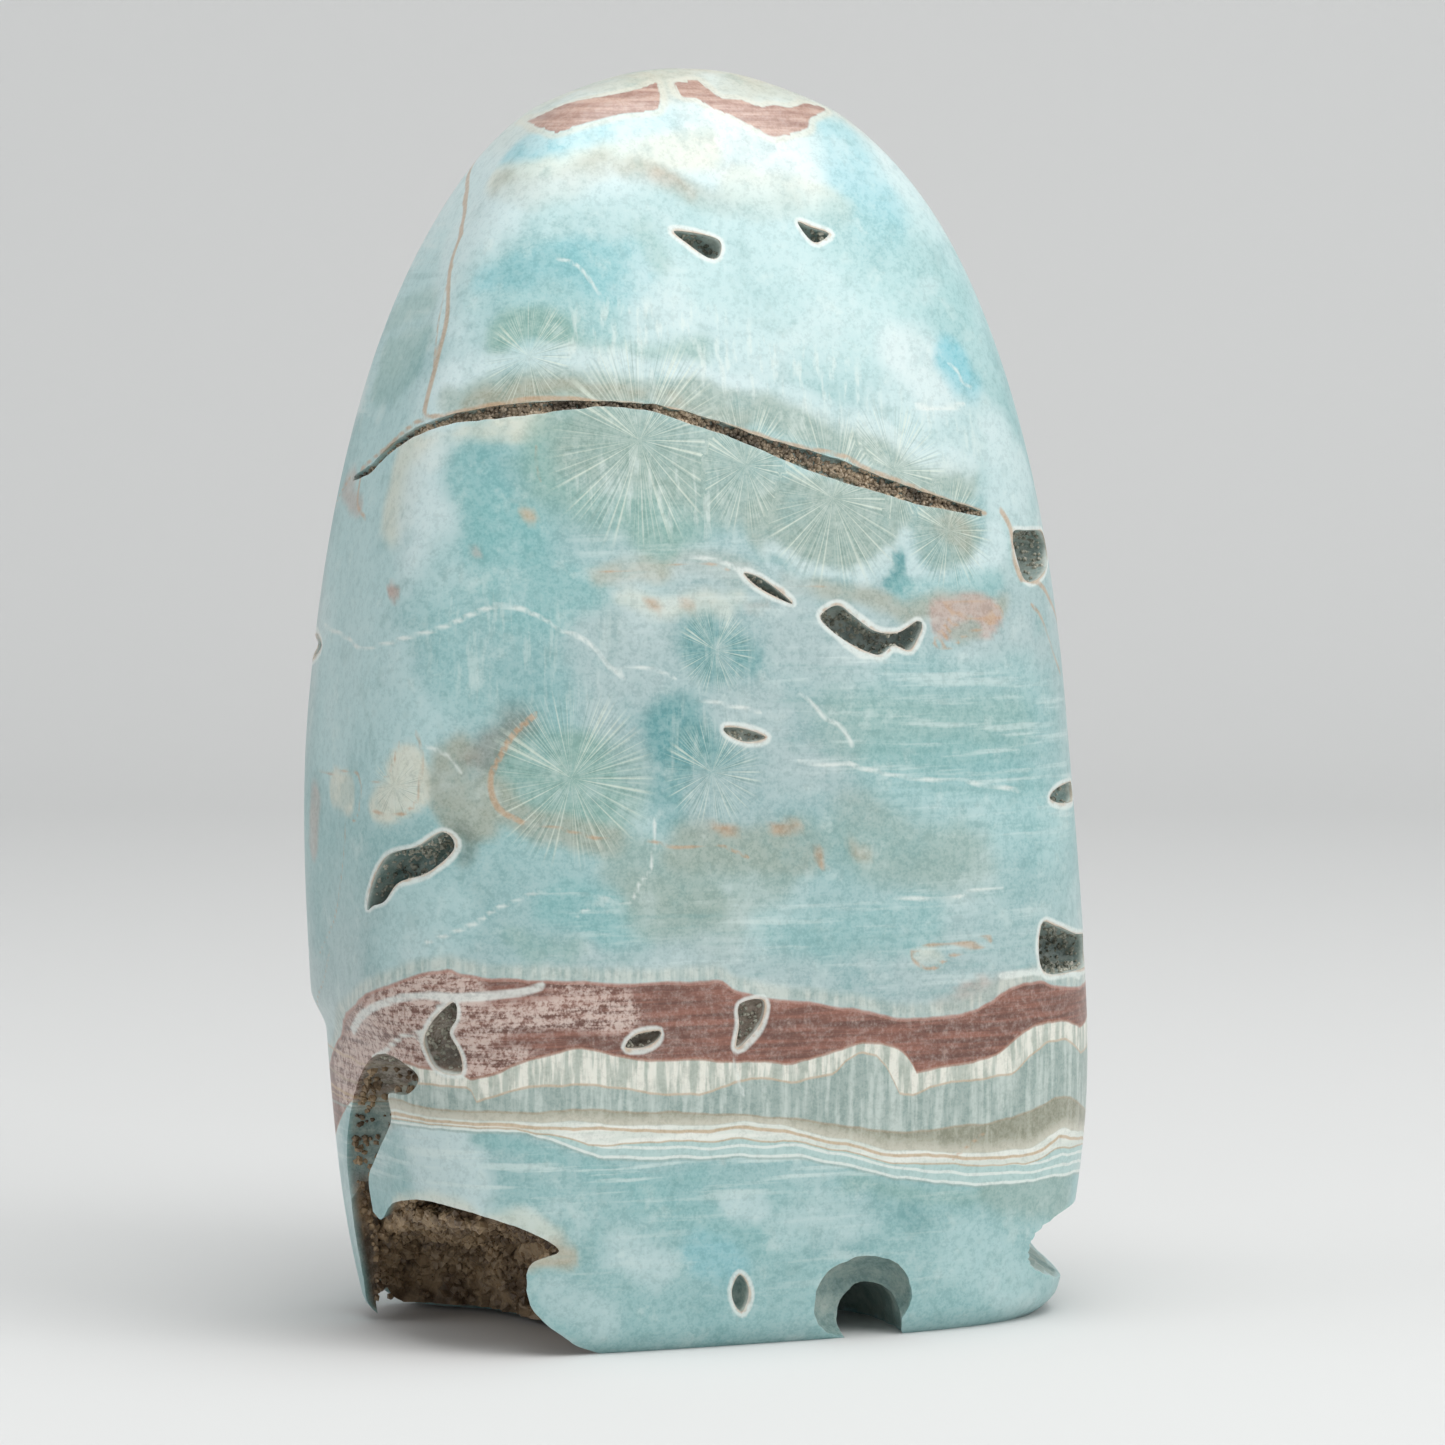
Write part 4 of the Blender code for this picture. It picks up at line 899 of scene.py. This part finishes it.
class Nodes:
    """Writes the nodes of one node tree."""

    def __init__(self, tree):
        self.tree = tree

    def put(self, socket, value):
        """Link a socket to another one, or set its value."""
        if isinstance(value, bpy.types.NodeSocket):
            self.tree.links.new(value, socket)
        elif isinstance(value, (tuple, list)) and len(value) == 3 and socket.type == "RGBA":
            socket.default_value = (*value, 1.0)
        else:
            socket.default_value = value

    def add(self, kind, values=(), **settings):
        """A node with its settings and input values."""
        node = self.tree.nodes.new(kind)
        for key, value in settings.items():
            setattr(node, key, value)
        for key, value in dict(values).items():
            self.put(node.inputs[key], value)
        return node

    def math(self, operation, a, b=0.0, clamp=False):
        """One sum."""
        return self.add("ShaderNodeMath", {0: a, 1: b}, operation=operation, use_clamp=clamp).outputs[0]

    def ramp(self, value, low, high):
        """Rise smoothly from 0 at low to 1 at high."""
        return self.add("ShaderNodeMapRange", {"Value": value, "From Min": low, "From Max": high},
                        interpolation_type="SMOOTHSTEP").outputs["Result"]

    def below(self, value, edge, soft=0.12):
        """1 where a value is below an edge."""
        return self.add("ShaderNodeMapRange", {"Value": value, "From Min": edge - soft, "From Max": edge + soft,
                                               "To Min": 1.0, "To Max": 0.0},
                        interpolation_type="SMOOTHSTEP").outputs["Result"]

    def between(self, value, low, high, soft=0.12):
        """1 where a value lies between two edges."""
        return self.math("MULTIPLY", self.below(value, high, soft), self.ramp(value, low - soft, low + soft))

    def mix(self, factor, a, b, blend="MIX"):
        """Mix two colours."""
        node = self.add("ShaderNodeMix", {0: factor, 6: a, 7: b}, data_type="RGBA", blend_type=blend)
        return node.outputs[2]

    def scaled(self, place, factors):
        """A place stretched along each axis."""
        return self.add("ShaderNodeVectorMath", {0: place, 1: factors}, operation="MULTIPLY").outputs[0]

    def noise(self, place, scale, detail=3.0, rough=0.5):
        """Noise, about 0 to 1."""
        return self.add("ShaderNodeTexNoise", {"Vector": place, "Scale": scale, "Detail": detail,
                                               "Roughness": rough}).outputs["Fac"]

    def parts(self, name):
        """The three numbers of an attribute."""
        vector = self.add("ShaderNodeAttribute", attribute_name=name).outputs["Vector"]
        split = self.add("ShaderNodeSeparateXYZ", {0: vector})
        return vector, split.outputs[0], split.outputs[1], split.outputs[2]


def grain_group():
    """A shared effect: how dark or light the fine grain of the mineral is at a place."""
    group = bpy.data.node_groups.new("fine_grain", "ShaderNodeTree")
    group.interface.new_socket("Place", in_out="INPUT", socket_type="NodeSocketVector")
    group.interface.new_socket("Grain", in_out="OUTPUT", socket_type="NodeSocketFloat")
    n = Nodes(group)
    inlet = group.nodes.new("NodeGroupInput")
    outlet = group.nodes.new("NodeGroupOutput")
    coarse = n.noise(inlet.outputs[0], 1400.0, 4.0, 0.6)
    fine = n.noise(inlet.outputs[0], 4200.0, 2.0, 0.6)
    group.links.new(n.math("ADD", n.math("MULTIPLY", coarse, 0.6), n.math("MULTIPLY", fine, 0.4)), outlet.inputs[0])
    return group


def stone_material(grain):
    """The polished calcite."""
    material = bpy.data.materials.new("polished_calcite")
    material.use_nodes = True
    n = Nodes(material.node_tree)
    shader = material.node_tree.nodes["Principled BSDF"]
    place = n.add("ShaderNodeTexCoord").outputs["Object"]
    tint = n.parts("tint")[0]
    _, pale, tan, depth = n.parts("veins")
    _, foot, hairline, tan_line = n.parts("low_edges")
    _, cream, olive, dome_line = n.parts("mid_edges")
    _, bottom, top, crown = n.parts("high_edges")
    spray, du, dz, needles = n.parts("spray")
    _, fibre, streak, frost = n.parts("texture")
    _, cave, sunk, height = n.parts("hollow")
    grit = n.add("ShaderNodeGroup", {0: place}, node_tree=grain).outputs[0]
    cloud = n.noise(place, 110.0, 6.0, 0.62)
    mottle = n.noise(place, 420.0, 5.0, 0.6)
    upright = n.noise(n.scaled(place, (1500.0, 1500.0, 190.0)), 1.0, 3.0, 0.55)
    layers = n.noise(n.scaled(place, (90.0, 90.0, 1300.0)), 1.0, 4.0, 0.55)
    radial = n.add("ShaderNodeVectorMath", {0: n.add("ShaderNodeCombineXYZ", {0: du, 1: dz}).outputs[0]},
                   operation="NORMALIZE").outputs[0]
    rays = n.noise(radial, 22.0, 3.0, 0.55)
    colour = n.mix(n.math("MULTIPLY", n.ramp(cloud, 0.52, 0.72), 0.45), tint, (0.60, 0.70, 0.69))
    colour = n.mix(n.math("MULTIPLY", n.ramp(cloud, 0.50, 0.30), 0.40), colour, (0.13, 0.33, 0.34))
    colour = n.mix(n.math("MULTIPLY", n.ramp(mottle, 0.55, 0.72), 0.28), colour, (0.64, 0.72, 0.68))
    colour = n.mix(n.math("MULTIPLY", n.ramp(mottle, 0.46, 0.30), 0.22), colour, (0.12, 0.27, 0.26))
    colour = n.mix(n.math("MULTIPLY", n.math("MULTIPLY", n.ramp(upright, 0.50, 0.68), fibre), 0.55), colour,
                   (0.66, 0.73, 0.68))
    colour = n.mix(n.math("MULTIPLY", n.math("MULTIPLY", n.ramp(layers, 0.52, 0.70), streak), 0.5), colour,
                   (0.64, 0.72, 0.69))
    colour = n.mix(n.math("MULTIPLY", n.math("MULTIPLY", n.ramp(layers, 0.48, 0.32), streak), 0.35), colour,
                   (0.14, 0.32, 0.31))
    colour = n.mix(n.math("MULTIPLY", n.math("MULTIPLY", n.ramp(rays, 0.50, 0.66), needles), 0.7), colour,
                   (0.62, 0.68, 0.58))
    colour = n.mix(n.math("MULTIPLY", n.math("MULTIPLY", n.ramp(rays, 0.48, 0.34), needles), 0.4), colour,
                   (0.13, 0.24, 0.20))
    layered = n.between(height, 14.0, 22.0, 1.5)
    colour = n.mix(n.math("MULTIPLY", n.math("MULTIPLY", n.ramp(layers, 0.5, 0.66), layered), 0.5), colour,
                   (0.62, 0.72, 0.69))
    above = n.mix(n.ramp(upright, 0.4, 0.62), (0.33, 0.40, 0.36), (0.58, 0.60, 0.53))
    colour = n.mix(n.math("MULTIPLY", n.between(top, 0.0, 1.3, 0.5), 0.65), colour, above)
    fine_lines = n.math("SINE", n.math("MULTIPLY", foot, 7.5))
    under = n.mix(n.ramp(fine_lines, 0.2, 0.9), (0.40, 0.55, 0.53), (0.66, 0.72, 0.68))
    colour = n.mix(n.math("MULTIPLY", n.ramp(foot, -0.1, 0.15), n.below(hairline, 0.0)), colour, under)
    white = n.mix(n.ramp(layers, 0.4, 0.66), (0.62, 0.66, 0.60), (0.76, 0.77, 0.71))
    colour = n.mix(n.math("MULTIPLY", n.ramp(hairline, -0.08, 0.08), n.below(cream, 0.1)), colour, white)
    beige = n.mix(n.ramp(cream, 0.0, 1.6), (0.52, 0.50, 0.41), (0.25, 0.25, 0.18))
    beige = n.mix(n.math("MULTIPLY", n.ramp(upright, 0.5, 0.7), 0.35), beige, (0.55, 0.55, 0.46))
    colour = n.mix(n.math("MULTIPLY", n.ramp(cream, -0.05, 0.15), n.below(olive, 0.05)), colour, beige)
    ashen = n.mix(n.ramp(upright, 0.38, 0.66), (0.27, 0.35, 0.32), (0.46, 0.53, 0.49))
    colour = n.mix(n.math("MULTIPLY", n.ramp(olive, -0.1, 0.1), n.below(dome_line, 0.0)), colour, ashen)
    fibres = n.mix(n.ramp(upright, 0.40, 0.60), (0.40, 0.44, 0.38), (0.72, 0.71, 0.63))
    colour = n.mix(n.math("MULTIPLY", n.ramp(dome_line, -0.08, 0.08), n.below(bottom, 0.0)), colour, fibres)
    threads = n.noise(n.scaled(place, (130.0, 130.0, 2300.0)), 1.0, 4.0, 0.6)
    earth = n.mix(n.ramp(threads, 0.35, 0.68), (0.13, 0.045, 0.028), (0.27, 0.10, 0.065))
    earth = n.mix(n.math("MULTIPLY", n.ramp(grit, 0.56, 0.66), 0.4), earth, (0.42, 0.24, 0.18))
    frosted = n.math("MULTIPLY", frost, n.ramp(n.math("ADD", grit, n.math("MULTIPLY", threads, 0.5)), 0.62, 0.84))
    earth = n.mix(n.math("MULTIPLY", frosted, 0.85), earth, (0.60, 0.46, 0.40))
    ribbon = n.math("MULTIPLY", n.ramp(bottom, -0.05, 0.12), n.below(top, 0.0, 0.08))
    colour = n.mix(ribbon, colour, earth)
    lower_rim = n.math("MULTIPLY", n.between(bottom, -0.12, 0.14, 0.08), 0.7)
    colour = n.mix(lower_rim, colour, (0.34, 0.13, 0.07))
    upper_rim = n.math("MULTIPLY", n.between(top, -0.2, 0.12, 0.08), 0.7)
    colour = n.mix(upper_rim, colour, (0.40, 0.20, 0.15))
    for edge, half, shade, share in ((foot, 0.10, (0.27, 0.36, 0.33), 0.55), (hairline, 0.07, (0.50, 0.34, 0.18), 0.75),
                                     (tan_line, 0.14, (0.50, 0.33, 0.17), 0.75), (olive, 0.10, (0.34, 0.26, 0.16), 0.6),
                                     (dome_line, 0.10, (0.52, 0.38, 0.25), 0.75)):
        colour = n.mix(n.math("MULTIPLY", n.between(edge, -half, half, 0.07), share), colour, shade)
    crust = n.mix(n.ramp(threads, 0.35, 0.66), (0.30, 0.14, 0.10), (0.50, 0.31, 0.24))
    colour = n.mix(n.math("MULTIPLY", n.between(crown, 0.0, 0.7, 0.3), 0.6), colour, (0.62, 0.60, 0.50))
    colour = n.mix(n.math("MULTIPLY", n.below(crown, 0.0, 0.14), 0.93), colour, crust)
    colour = n.mix(n.math("MULTIPLY", n.below(pale, 0.05, 0.14), 0.75), colour, (0.70, 0.74, 0.70))
    colour = n.mix(n.math("MULTIPLY", n.below(tan, 0.02, 0.12), 0.72), colour, (0.47, 0.29, 0.16))
    # Inside the pits and cuts the colour turns darker with depth: partly the stone's own unpolished colour there,
    # partly painted shade in the recesses
    broken = n.mix(n.ramp(mottle, 0.35, 0.65), (0.10, 0.13, 0.10), (0.36, 0.36, 0.29))
    colour = n.mix(n.math("MULTIPLY", sunk, 0.55), colour, broken)
    colour = n.mix(cave, colour, n.mix(n.ramp(mottle, 0.4, 0.62), (0.10, 0.065, 0.04), (0.34, 0.23, 0.13)))
    colour = n.mix(n.math("MULTIPLY", n.ramp(grit, 0.40, 0.62), 0.14), colour, (0.70, 0.75, 0.71))
    colour = n.mix(n.math("MULTIPLY", n.ramp(grit, 0.52, 0.38), 0.14), colour, (0.08, 0.14, 0.13))
    n.put(shader.inputs["Base Color"], colour)
    rough = n.math("ADD", n.math("MULTIPLY", grit, 0.12), 0.26)
    n.put(shader.inputs["Roughness"], n.math("MAXIMUM", rough, n.math("MULTIPLY", sunk, 0.6)))
    relief = n.math("ADD", n.math("MULTIPLY", grit, 0.5), n.math("MULTIPLY", mottle, 0.5))
    bump = n.add("ShaderNodeBump", {"Strength": n.math("ADD", n.math("MULTIPLY", sunk, 0.7), 0.06), "Distance": 0.0004,
                                    "Height": relief})
    n.put(shader.inputs["Normal"], bump.outputs[0])
    shader.inputs["Subsurface Weight"].default_value = 0.25
    shader.inputs["Subsurface Radius"].default_value = (0.8, 1.0, 1.0)
    shader.inputs["Subsurface Scale"].default_value = 0.0015
    shader.inputs["IOR"].default_value = 1.52
    return material


def crystal_material(name, grain, dark, bright):
    """Small crystals in a range of colours between a dark and a bright one, spread by noise."""
    material = bpy.data.materials.new(name)
    material.use_nodes = True
    n = Nodes(material.node_tree)
    shader = material.node_tree.nodes["Principled BSDF"]
    place = n.add("ShaderNodeTexCoord").outputs["Object"]
    grit = n.add("ShaderNodeGroup", {0: place}, node_tree=grain).outputs[0]
    blend = n.math("ADD", n.noise(place, 260.0, 3.0, 0.6), n.math("MULTIPLY", grit, 0.5))
    colour = n.mix(n.ramp(blend, 0.55, 0.92), dark, bright)
    n.put(shader.inputs["Base Color"], colour)
    shader.inputs["Roughness"].default_value = 0.38
    bump = n.add("ShaderNodeBump", {"Strength": 0.5, "Distance": 0.0004, "Height": blend})
    n.put(shader.inputs["Normal"], bump.outputs[0])
    return material


def make_crystals(name, places, normals, sizes, seed, shade=None):
    """Small pointed crystals standing on a surface, joined as one mesh."""
    chance = np.random.default_rng(seed)
    bm = bmesh.new()
    bmesh.ops.create_uvsphere(bm, u_segments=5, v_segments=3, radius=1.0)
    bmesh.ops.triangulate(bm, faces=bm.faces)
    shape = np.array([vert.co for vert in bm.verts]) * np.array((0.75, 0.75, 1.15))
    faces = np.array([[vert.index for vert in face.verts] for face in bm.faces])
    bm.free()
    count = len(places)
    lean = normals + chance.normal(0.0, 0.55, (count, 3))
    up = lean / np.linalg.norm(lean, axis=1, keepdims=True)
    side = np.cross(up, chance.normal(0.0, 1.0, (count, 3)))
    side /= np.linalg.norm(side, axis=1, keepdims=True)
    third = np.cross(up, side)
    axes = np.stack((side, third, up), axis=1)
    points = np.einsum("vk,nkj->nvj", shape, axes) * sizes[:, None, None] + places[:, None, :]
    verts = points.reshape(-1, 3) * MM
    index = (faces[None, :, :] + (np.arange(count) * len(shape))[:, None, None]).reshape(-1, 3)
    mesh = bpy.data.meshes.new(name)
    mesh.from_pydata(verts.tolist(), [], index.tolist())
    mesh.update()
    item = bpy.data.objects.new(name, mesh)
    bpy.context.scene.collection.objects.link(item)
    return item


def scatter_on(item, keep, count, seed):
    """Places and normals at random on the faces of an object that keep() chooses."""
    mesh = item.data
    centres = np.empty(len(mesh.polygons) * 3, dtype=np.float32)
    normals = np.empty(len(mesh.polygons) * 3, dtype=np.float32)
    areas = np.empty(len(mesh.polygons), dtype=np.float32)
    mesh.polygons.foreach_get("center", centres)
    mesh.polygons.foreach_get("normal", normals)
    mesh.polygons.foreach_get("area", areas)
    centres, normals = centres.reshape(-1, 3) / MM, normals.reshape(-1, 3)
    chosen = np.flatnonzero(keep(centres, normals))
    chance = np.random.default_rng(seed)
    share = areas[chosen] / areas[chosen].sum()
    picked = chance.choice(chosen, size=count, p=share)
    spread = np.sqrt(areas[picked]) / MM * 0.5
    return centres[picked] + chance.normal(0.0, 1.0, (count, 3)) * spread[:, None] * 0.5, normals[picked]


def in_seam(centres, normals):
    """Faces in the seam's groove."""
    u, z = face_coordinates(centres)
    given = np.array(SEAM)
    middle_z = np.interp(u, given[:, 0], given[:, 1])
    mouth = np.interp(u, given[:, 0], given[:, 2])
    depth = np.linalg.norm(skin_points(u, z) - centres, axis=1)
    within = (u > given[0, 0]) & (u < given[-1, 0]) & (np.abs(z - middle_z) < mouth / 2.0 + 0.5)
    return within & (depth > 0.35)


def in_vug(centres, normals):
    """Faces in the pits, away from the seam and the base."""
    u, z = face_coordinates(centres)
    depth = np.linalg.norm(skin_points(u, z) - centres, axis=1)
    return (z > 25.0) & (z < CROWN_LEVEL) & (depth > 0.6) & ~in_seam(centres, normals)


def in_corner(centres, normals):
    """Faces of the broken corner and of the hollow's own wall, off the base."""
    u, z = face_coordinates(centres)
    depth = np.linalg.norm(skin_points(u, z) - centres, axis=1)
    return (centres[:, 0] < -12.0) & (z > 0.8) & (z < 24.0) & (depth > 0.8)


def make_body(material):
    """The block with its hollows cut and its colours worked out."""
    side_rings = int((HEIGHT + 20.0) / SIDE_STEP)
    body = make_block("calcite_block", side_rings, fine_columns())
    cut(body, cave_ball("base_hollow", cave_field, 0.0, lambda ways: 0.0, CAVE_DETAIL))
    for seed, name in enumerate(BLOBS):
        cut(body, make_blob(name, float(seed)))
    for seed, (name, (outline, depth, floor, lift)) in enumerate(MOUTHS.items()):
        cut(body, make_pit(name, outline, depth, floor, lift, 20.0 + seed))
    for seed, (name, (outline, depth, floor)) in enumerate(PITS.items()):
        cut(body, make_pit(name, outline, depth, floor, PIT_LIFT, 40.0 + seed))
    cut(body, make_seam())
    mark_body(body)
    body.data.materials.clear()
    body.data.materials.append(material)
    smooth_by_angle(body)
    return body


def smooth_by_angle(item):
    """Smooth the polish and keep the edges of the cuts sharp."""
    bm = bmesh.new()
    bm.from_mesh(item.data)
    for face in bm.faces:
        face.smooth = True
    for edge in bm.edges:
        edge.smooth = len(edge.link_faces) == 2 and edge.calc_face_angle(0.0) < math.radians(38.0)
    bm.to_mesh(item.data)
    bm.free()


def druse_thickness(ways):
    """The depth of the crystals in each direction."""
    low, high = DRUSE_THICKNESS
    grain = 0.5 + 0.5 * lumps(ways * 20.0, 2.3) + 0.35 * lumps(ways * 20.0 + np.array((9.0, 4.0, 2.0)), 1.1)
    return low + (high - low) * np.clip(grain, 0.0, 1.0)


def make_druse(material):
    """The crust that lines the base hollow."""
    druse = cave_ball("druse_lining", cave_field, DRUSE_GAP, lambda ways: 0.0, CAVE_DETAIL - 1)
    cut(druse, cave_ball("druse_inside", vault_field, DRUSE_GAP, druse_thickness, CAVE_DETAIL - 1))
    columns = np.arange(0.0, GIRTH_LENGTH - 1.0, 2.0) - 60.0
    cut(druse, make_block("druse_mould", 60, columns, DRUSE_SETBACK, DRUSE_FLOOR), "INTERSECT")
    druse.data.materials.clear()
    druse.data.materials.append(material)
    return druse


def main():
    grain = grain_group()
    stone = stone_material(grain)
    body = make_body(stone)
    brown = crystal_material("brown_druse", grain, (0.11, 0.07, 0.04), (0.42, 0.30, 0.18))
    druse = make_druse(brown)
    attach(body, "root")
    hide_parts("calcite_body")
    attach(druse, "root")
    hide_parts("hollow_druse")
    chance = np.random.default_rng(5)
    sandy = crystal_material("seam_grains", grain, (0.09, 0.07, 0.05), (0.46, 0.36, 0.25))
    icy = crystal_material("vug_grains", grain, (0.12, 0.13, 0.10), (0.55, 0.53, 0.44))
    for name, keep, item, count, size, material in (
            ("seam_crystals", in_seam, body, 3600, (0.14, 0.34), sandy),
            ("vug_crystals", in_vug, body, 2600, (0.12, 0.34), icy),
            ("corner_crystals", in_corner, body, 2200, (0.2, 0.6), brown),
            ("druse_crystals", lambda c, m: c[:, 2] > 1.2, druse, 2400, (0.3, 0.8), brown)):
        places, normals = scatter_on(item, keep, count, 11)
        sizes = chance.uniform(*size, count)
        places = places - normals * sizes[:, None] * 0.2
        held = (fullness(places) < 0.985) & (places[:, 2] > 1.1)
        piece = make_crystals(name, places[held], normals[held], sizes[held], 3)
        piece.data.materials.append(material)
        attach(piece, "root")
    stage()
    lights()
    camera()
    size = {"cad": boxed(CAD_BOX), "visual": boxed(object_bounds())}


def boxed(bounds):
    """A box as two plain lists of numbers."""
    return [[float(v) for v in corner] for corner in bounds]


def plain(name, colour):
    """A matt material."""
    material = bpy.data.materials.new(name)
    material.use_nodes = True
    shader = material.node_tree.nodes["Principled BSDF"]
    shader.inputs["Base Color"].default_value = (*colour, 1.0)
    shader.inputs["Roughness"].default_value = 0.9
    return material


def stage():
    """A pale floor that curves up into a backdrop."""
    profile = [(-1.2, 0.0)] + [(0.6 + 0.3 * math.sin(a), 0.3 - 0.3 * math.cos(a)) for a in np.linspace(0.0, math.pi / 2.0, 14)]
    profile.append((0.9, 1.8))
    mesh = bpy.data.meshes.new("sweep")
    turn = Matrix.Rotation(math.radians(AZIMUTH), 3, "Z")
    verts = [turn @ Vector((x, y, z)) for x in (-2.5, 2.5) for y, z in profile]
    count = len(profile)
    mesh.from_pydata(verts, [], [(i, i + 1, i + 1 + count, i + count) for i in range(count - 1)])
    sweep = bpy.data.objects.new("sweep", mesh)
    bpy.context.scene.collection.objects.link(sweep)
    mesh.materials.append(plain("sweep_paper", (0.62, 0.62, 0.61)))
    for face in mesh.polygons:
        face.use_smooth = True
    sweep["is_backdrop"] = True


def lamp(name, azimuth, elevation, distance, size, power):
    """A soft box that faces the stone."""
    light = bpy.data.lights.new(name, "AREA")
    light.shape = "SQUARE"
    light.size = size
    light.energy = power
    item = bpy.data.objects.new(name, light)
    a, e = math.radians(azimuth), math.radians(elevation)
    way = Vector((math.sin(a) * math.cos(e), -math.cos(a) * math.cos(e), math.sin(e)))
    item.location = Vector((0.0, 0.0, 0.05)) + way * distance
    item.rotation_euler = way.to_track_quat("Z", "Y").to_euler()
    bpy.context.scene.collection.objects.link(item)


def lights():
    """Soft light from all round, most of it from above and from the right."""
    world = bpy.data.worlds.new("studio")
    world.use_nodes = True
    world.node_tree.nodes["Background"].inputs["Color"].default_value = (0.94, 0.97, 1.0, 1.0)
    world.node_tree.nodes["Background"].inputs["Strength"].default_value = 0.55
    bpy.context.scene.world = world
    lamp("top_box", 10.0, 72.0, 0.9, 0.8, 7.0)
    lamp("right_box", 35.0, 28.0, 1.1, 0.6, 4.0)
    lamp("left_box", -95.0, 30.0, 1.2, 0.6, 1.6)


def camera():
    """The view of the photograph."""
    data = bpy.data.cameras.new("camera")
    data.sensor_width = 36.0
    data.angle = math.radians(FIELD_OF_VIEW)
    data.clip_start = 0.01
    item = bpy.data.objects.new("camera", data)
    place, _, _, forward = camera_axes()
    item.location = place * MM
    item.rotation_euler = forward.to_track_quat("-Z", "Y").to_euler()
    bpy.context.scene.collection.objects.link(item)
    bpy.context.scene.camera = item
    bpy.context.scene.view_settings.view_transform = "Standard"


main()
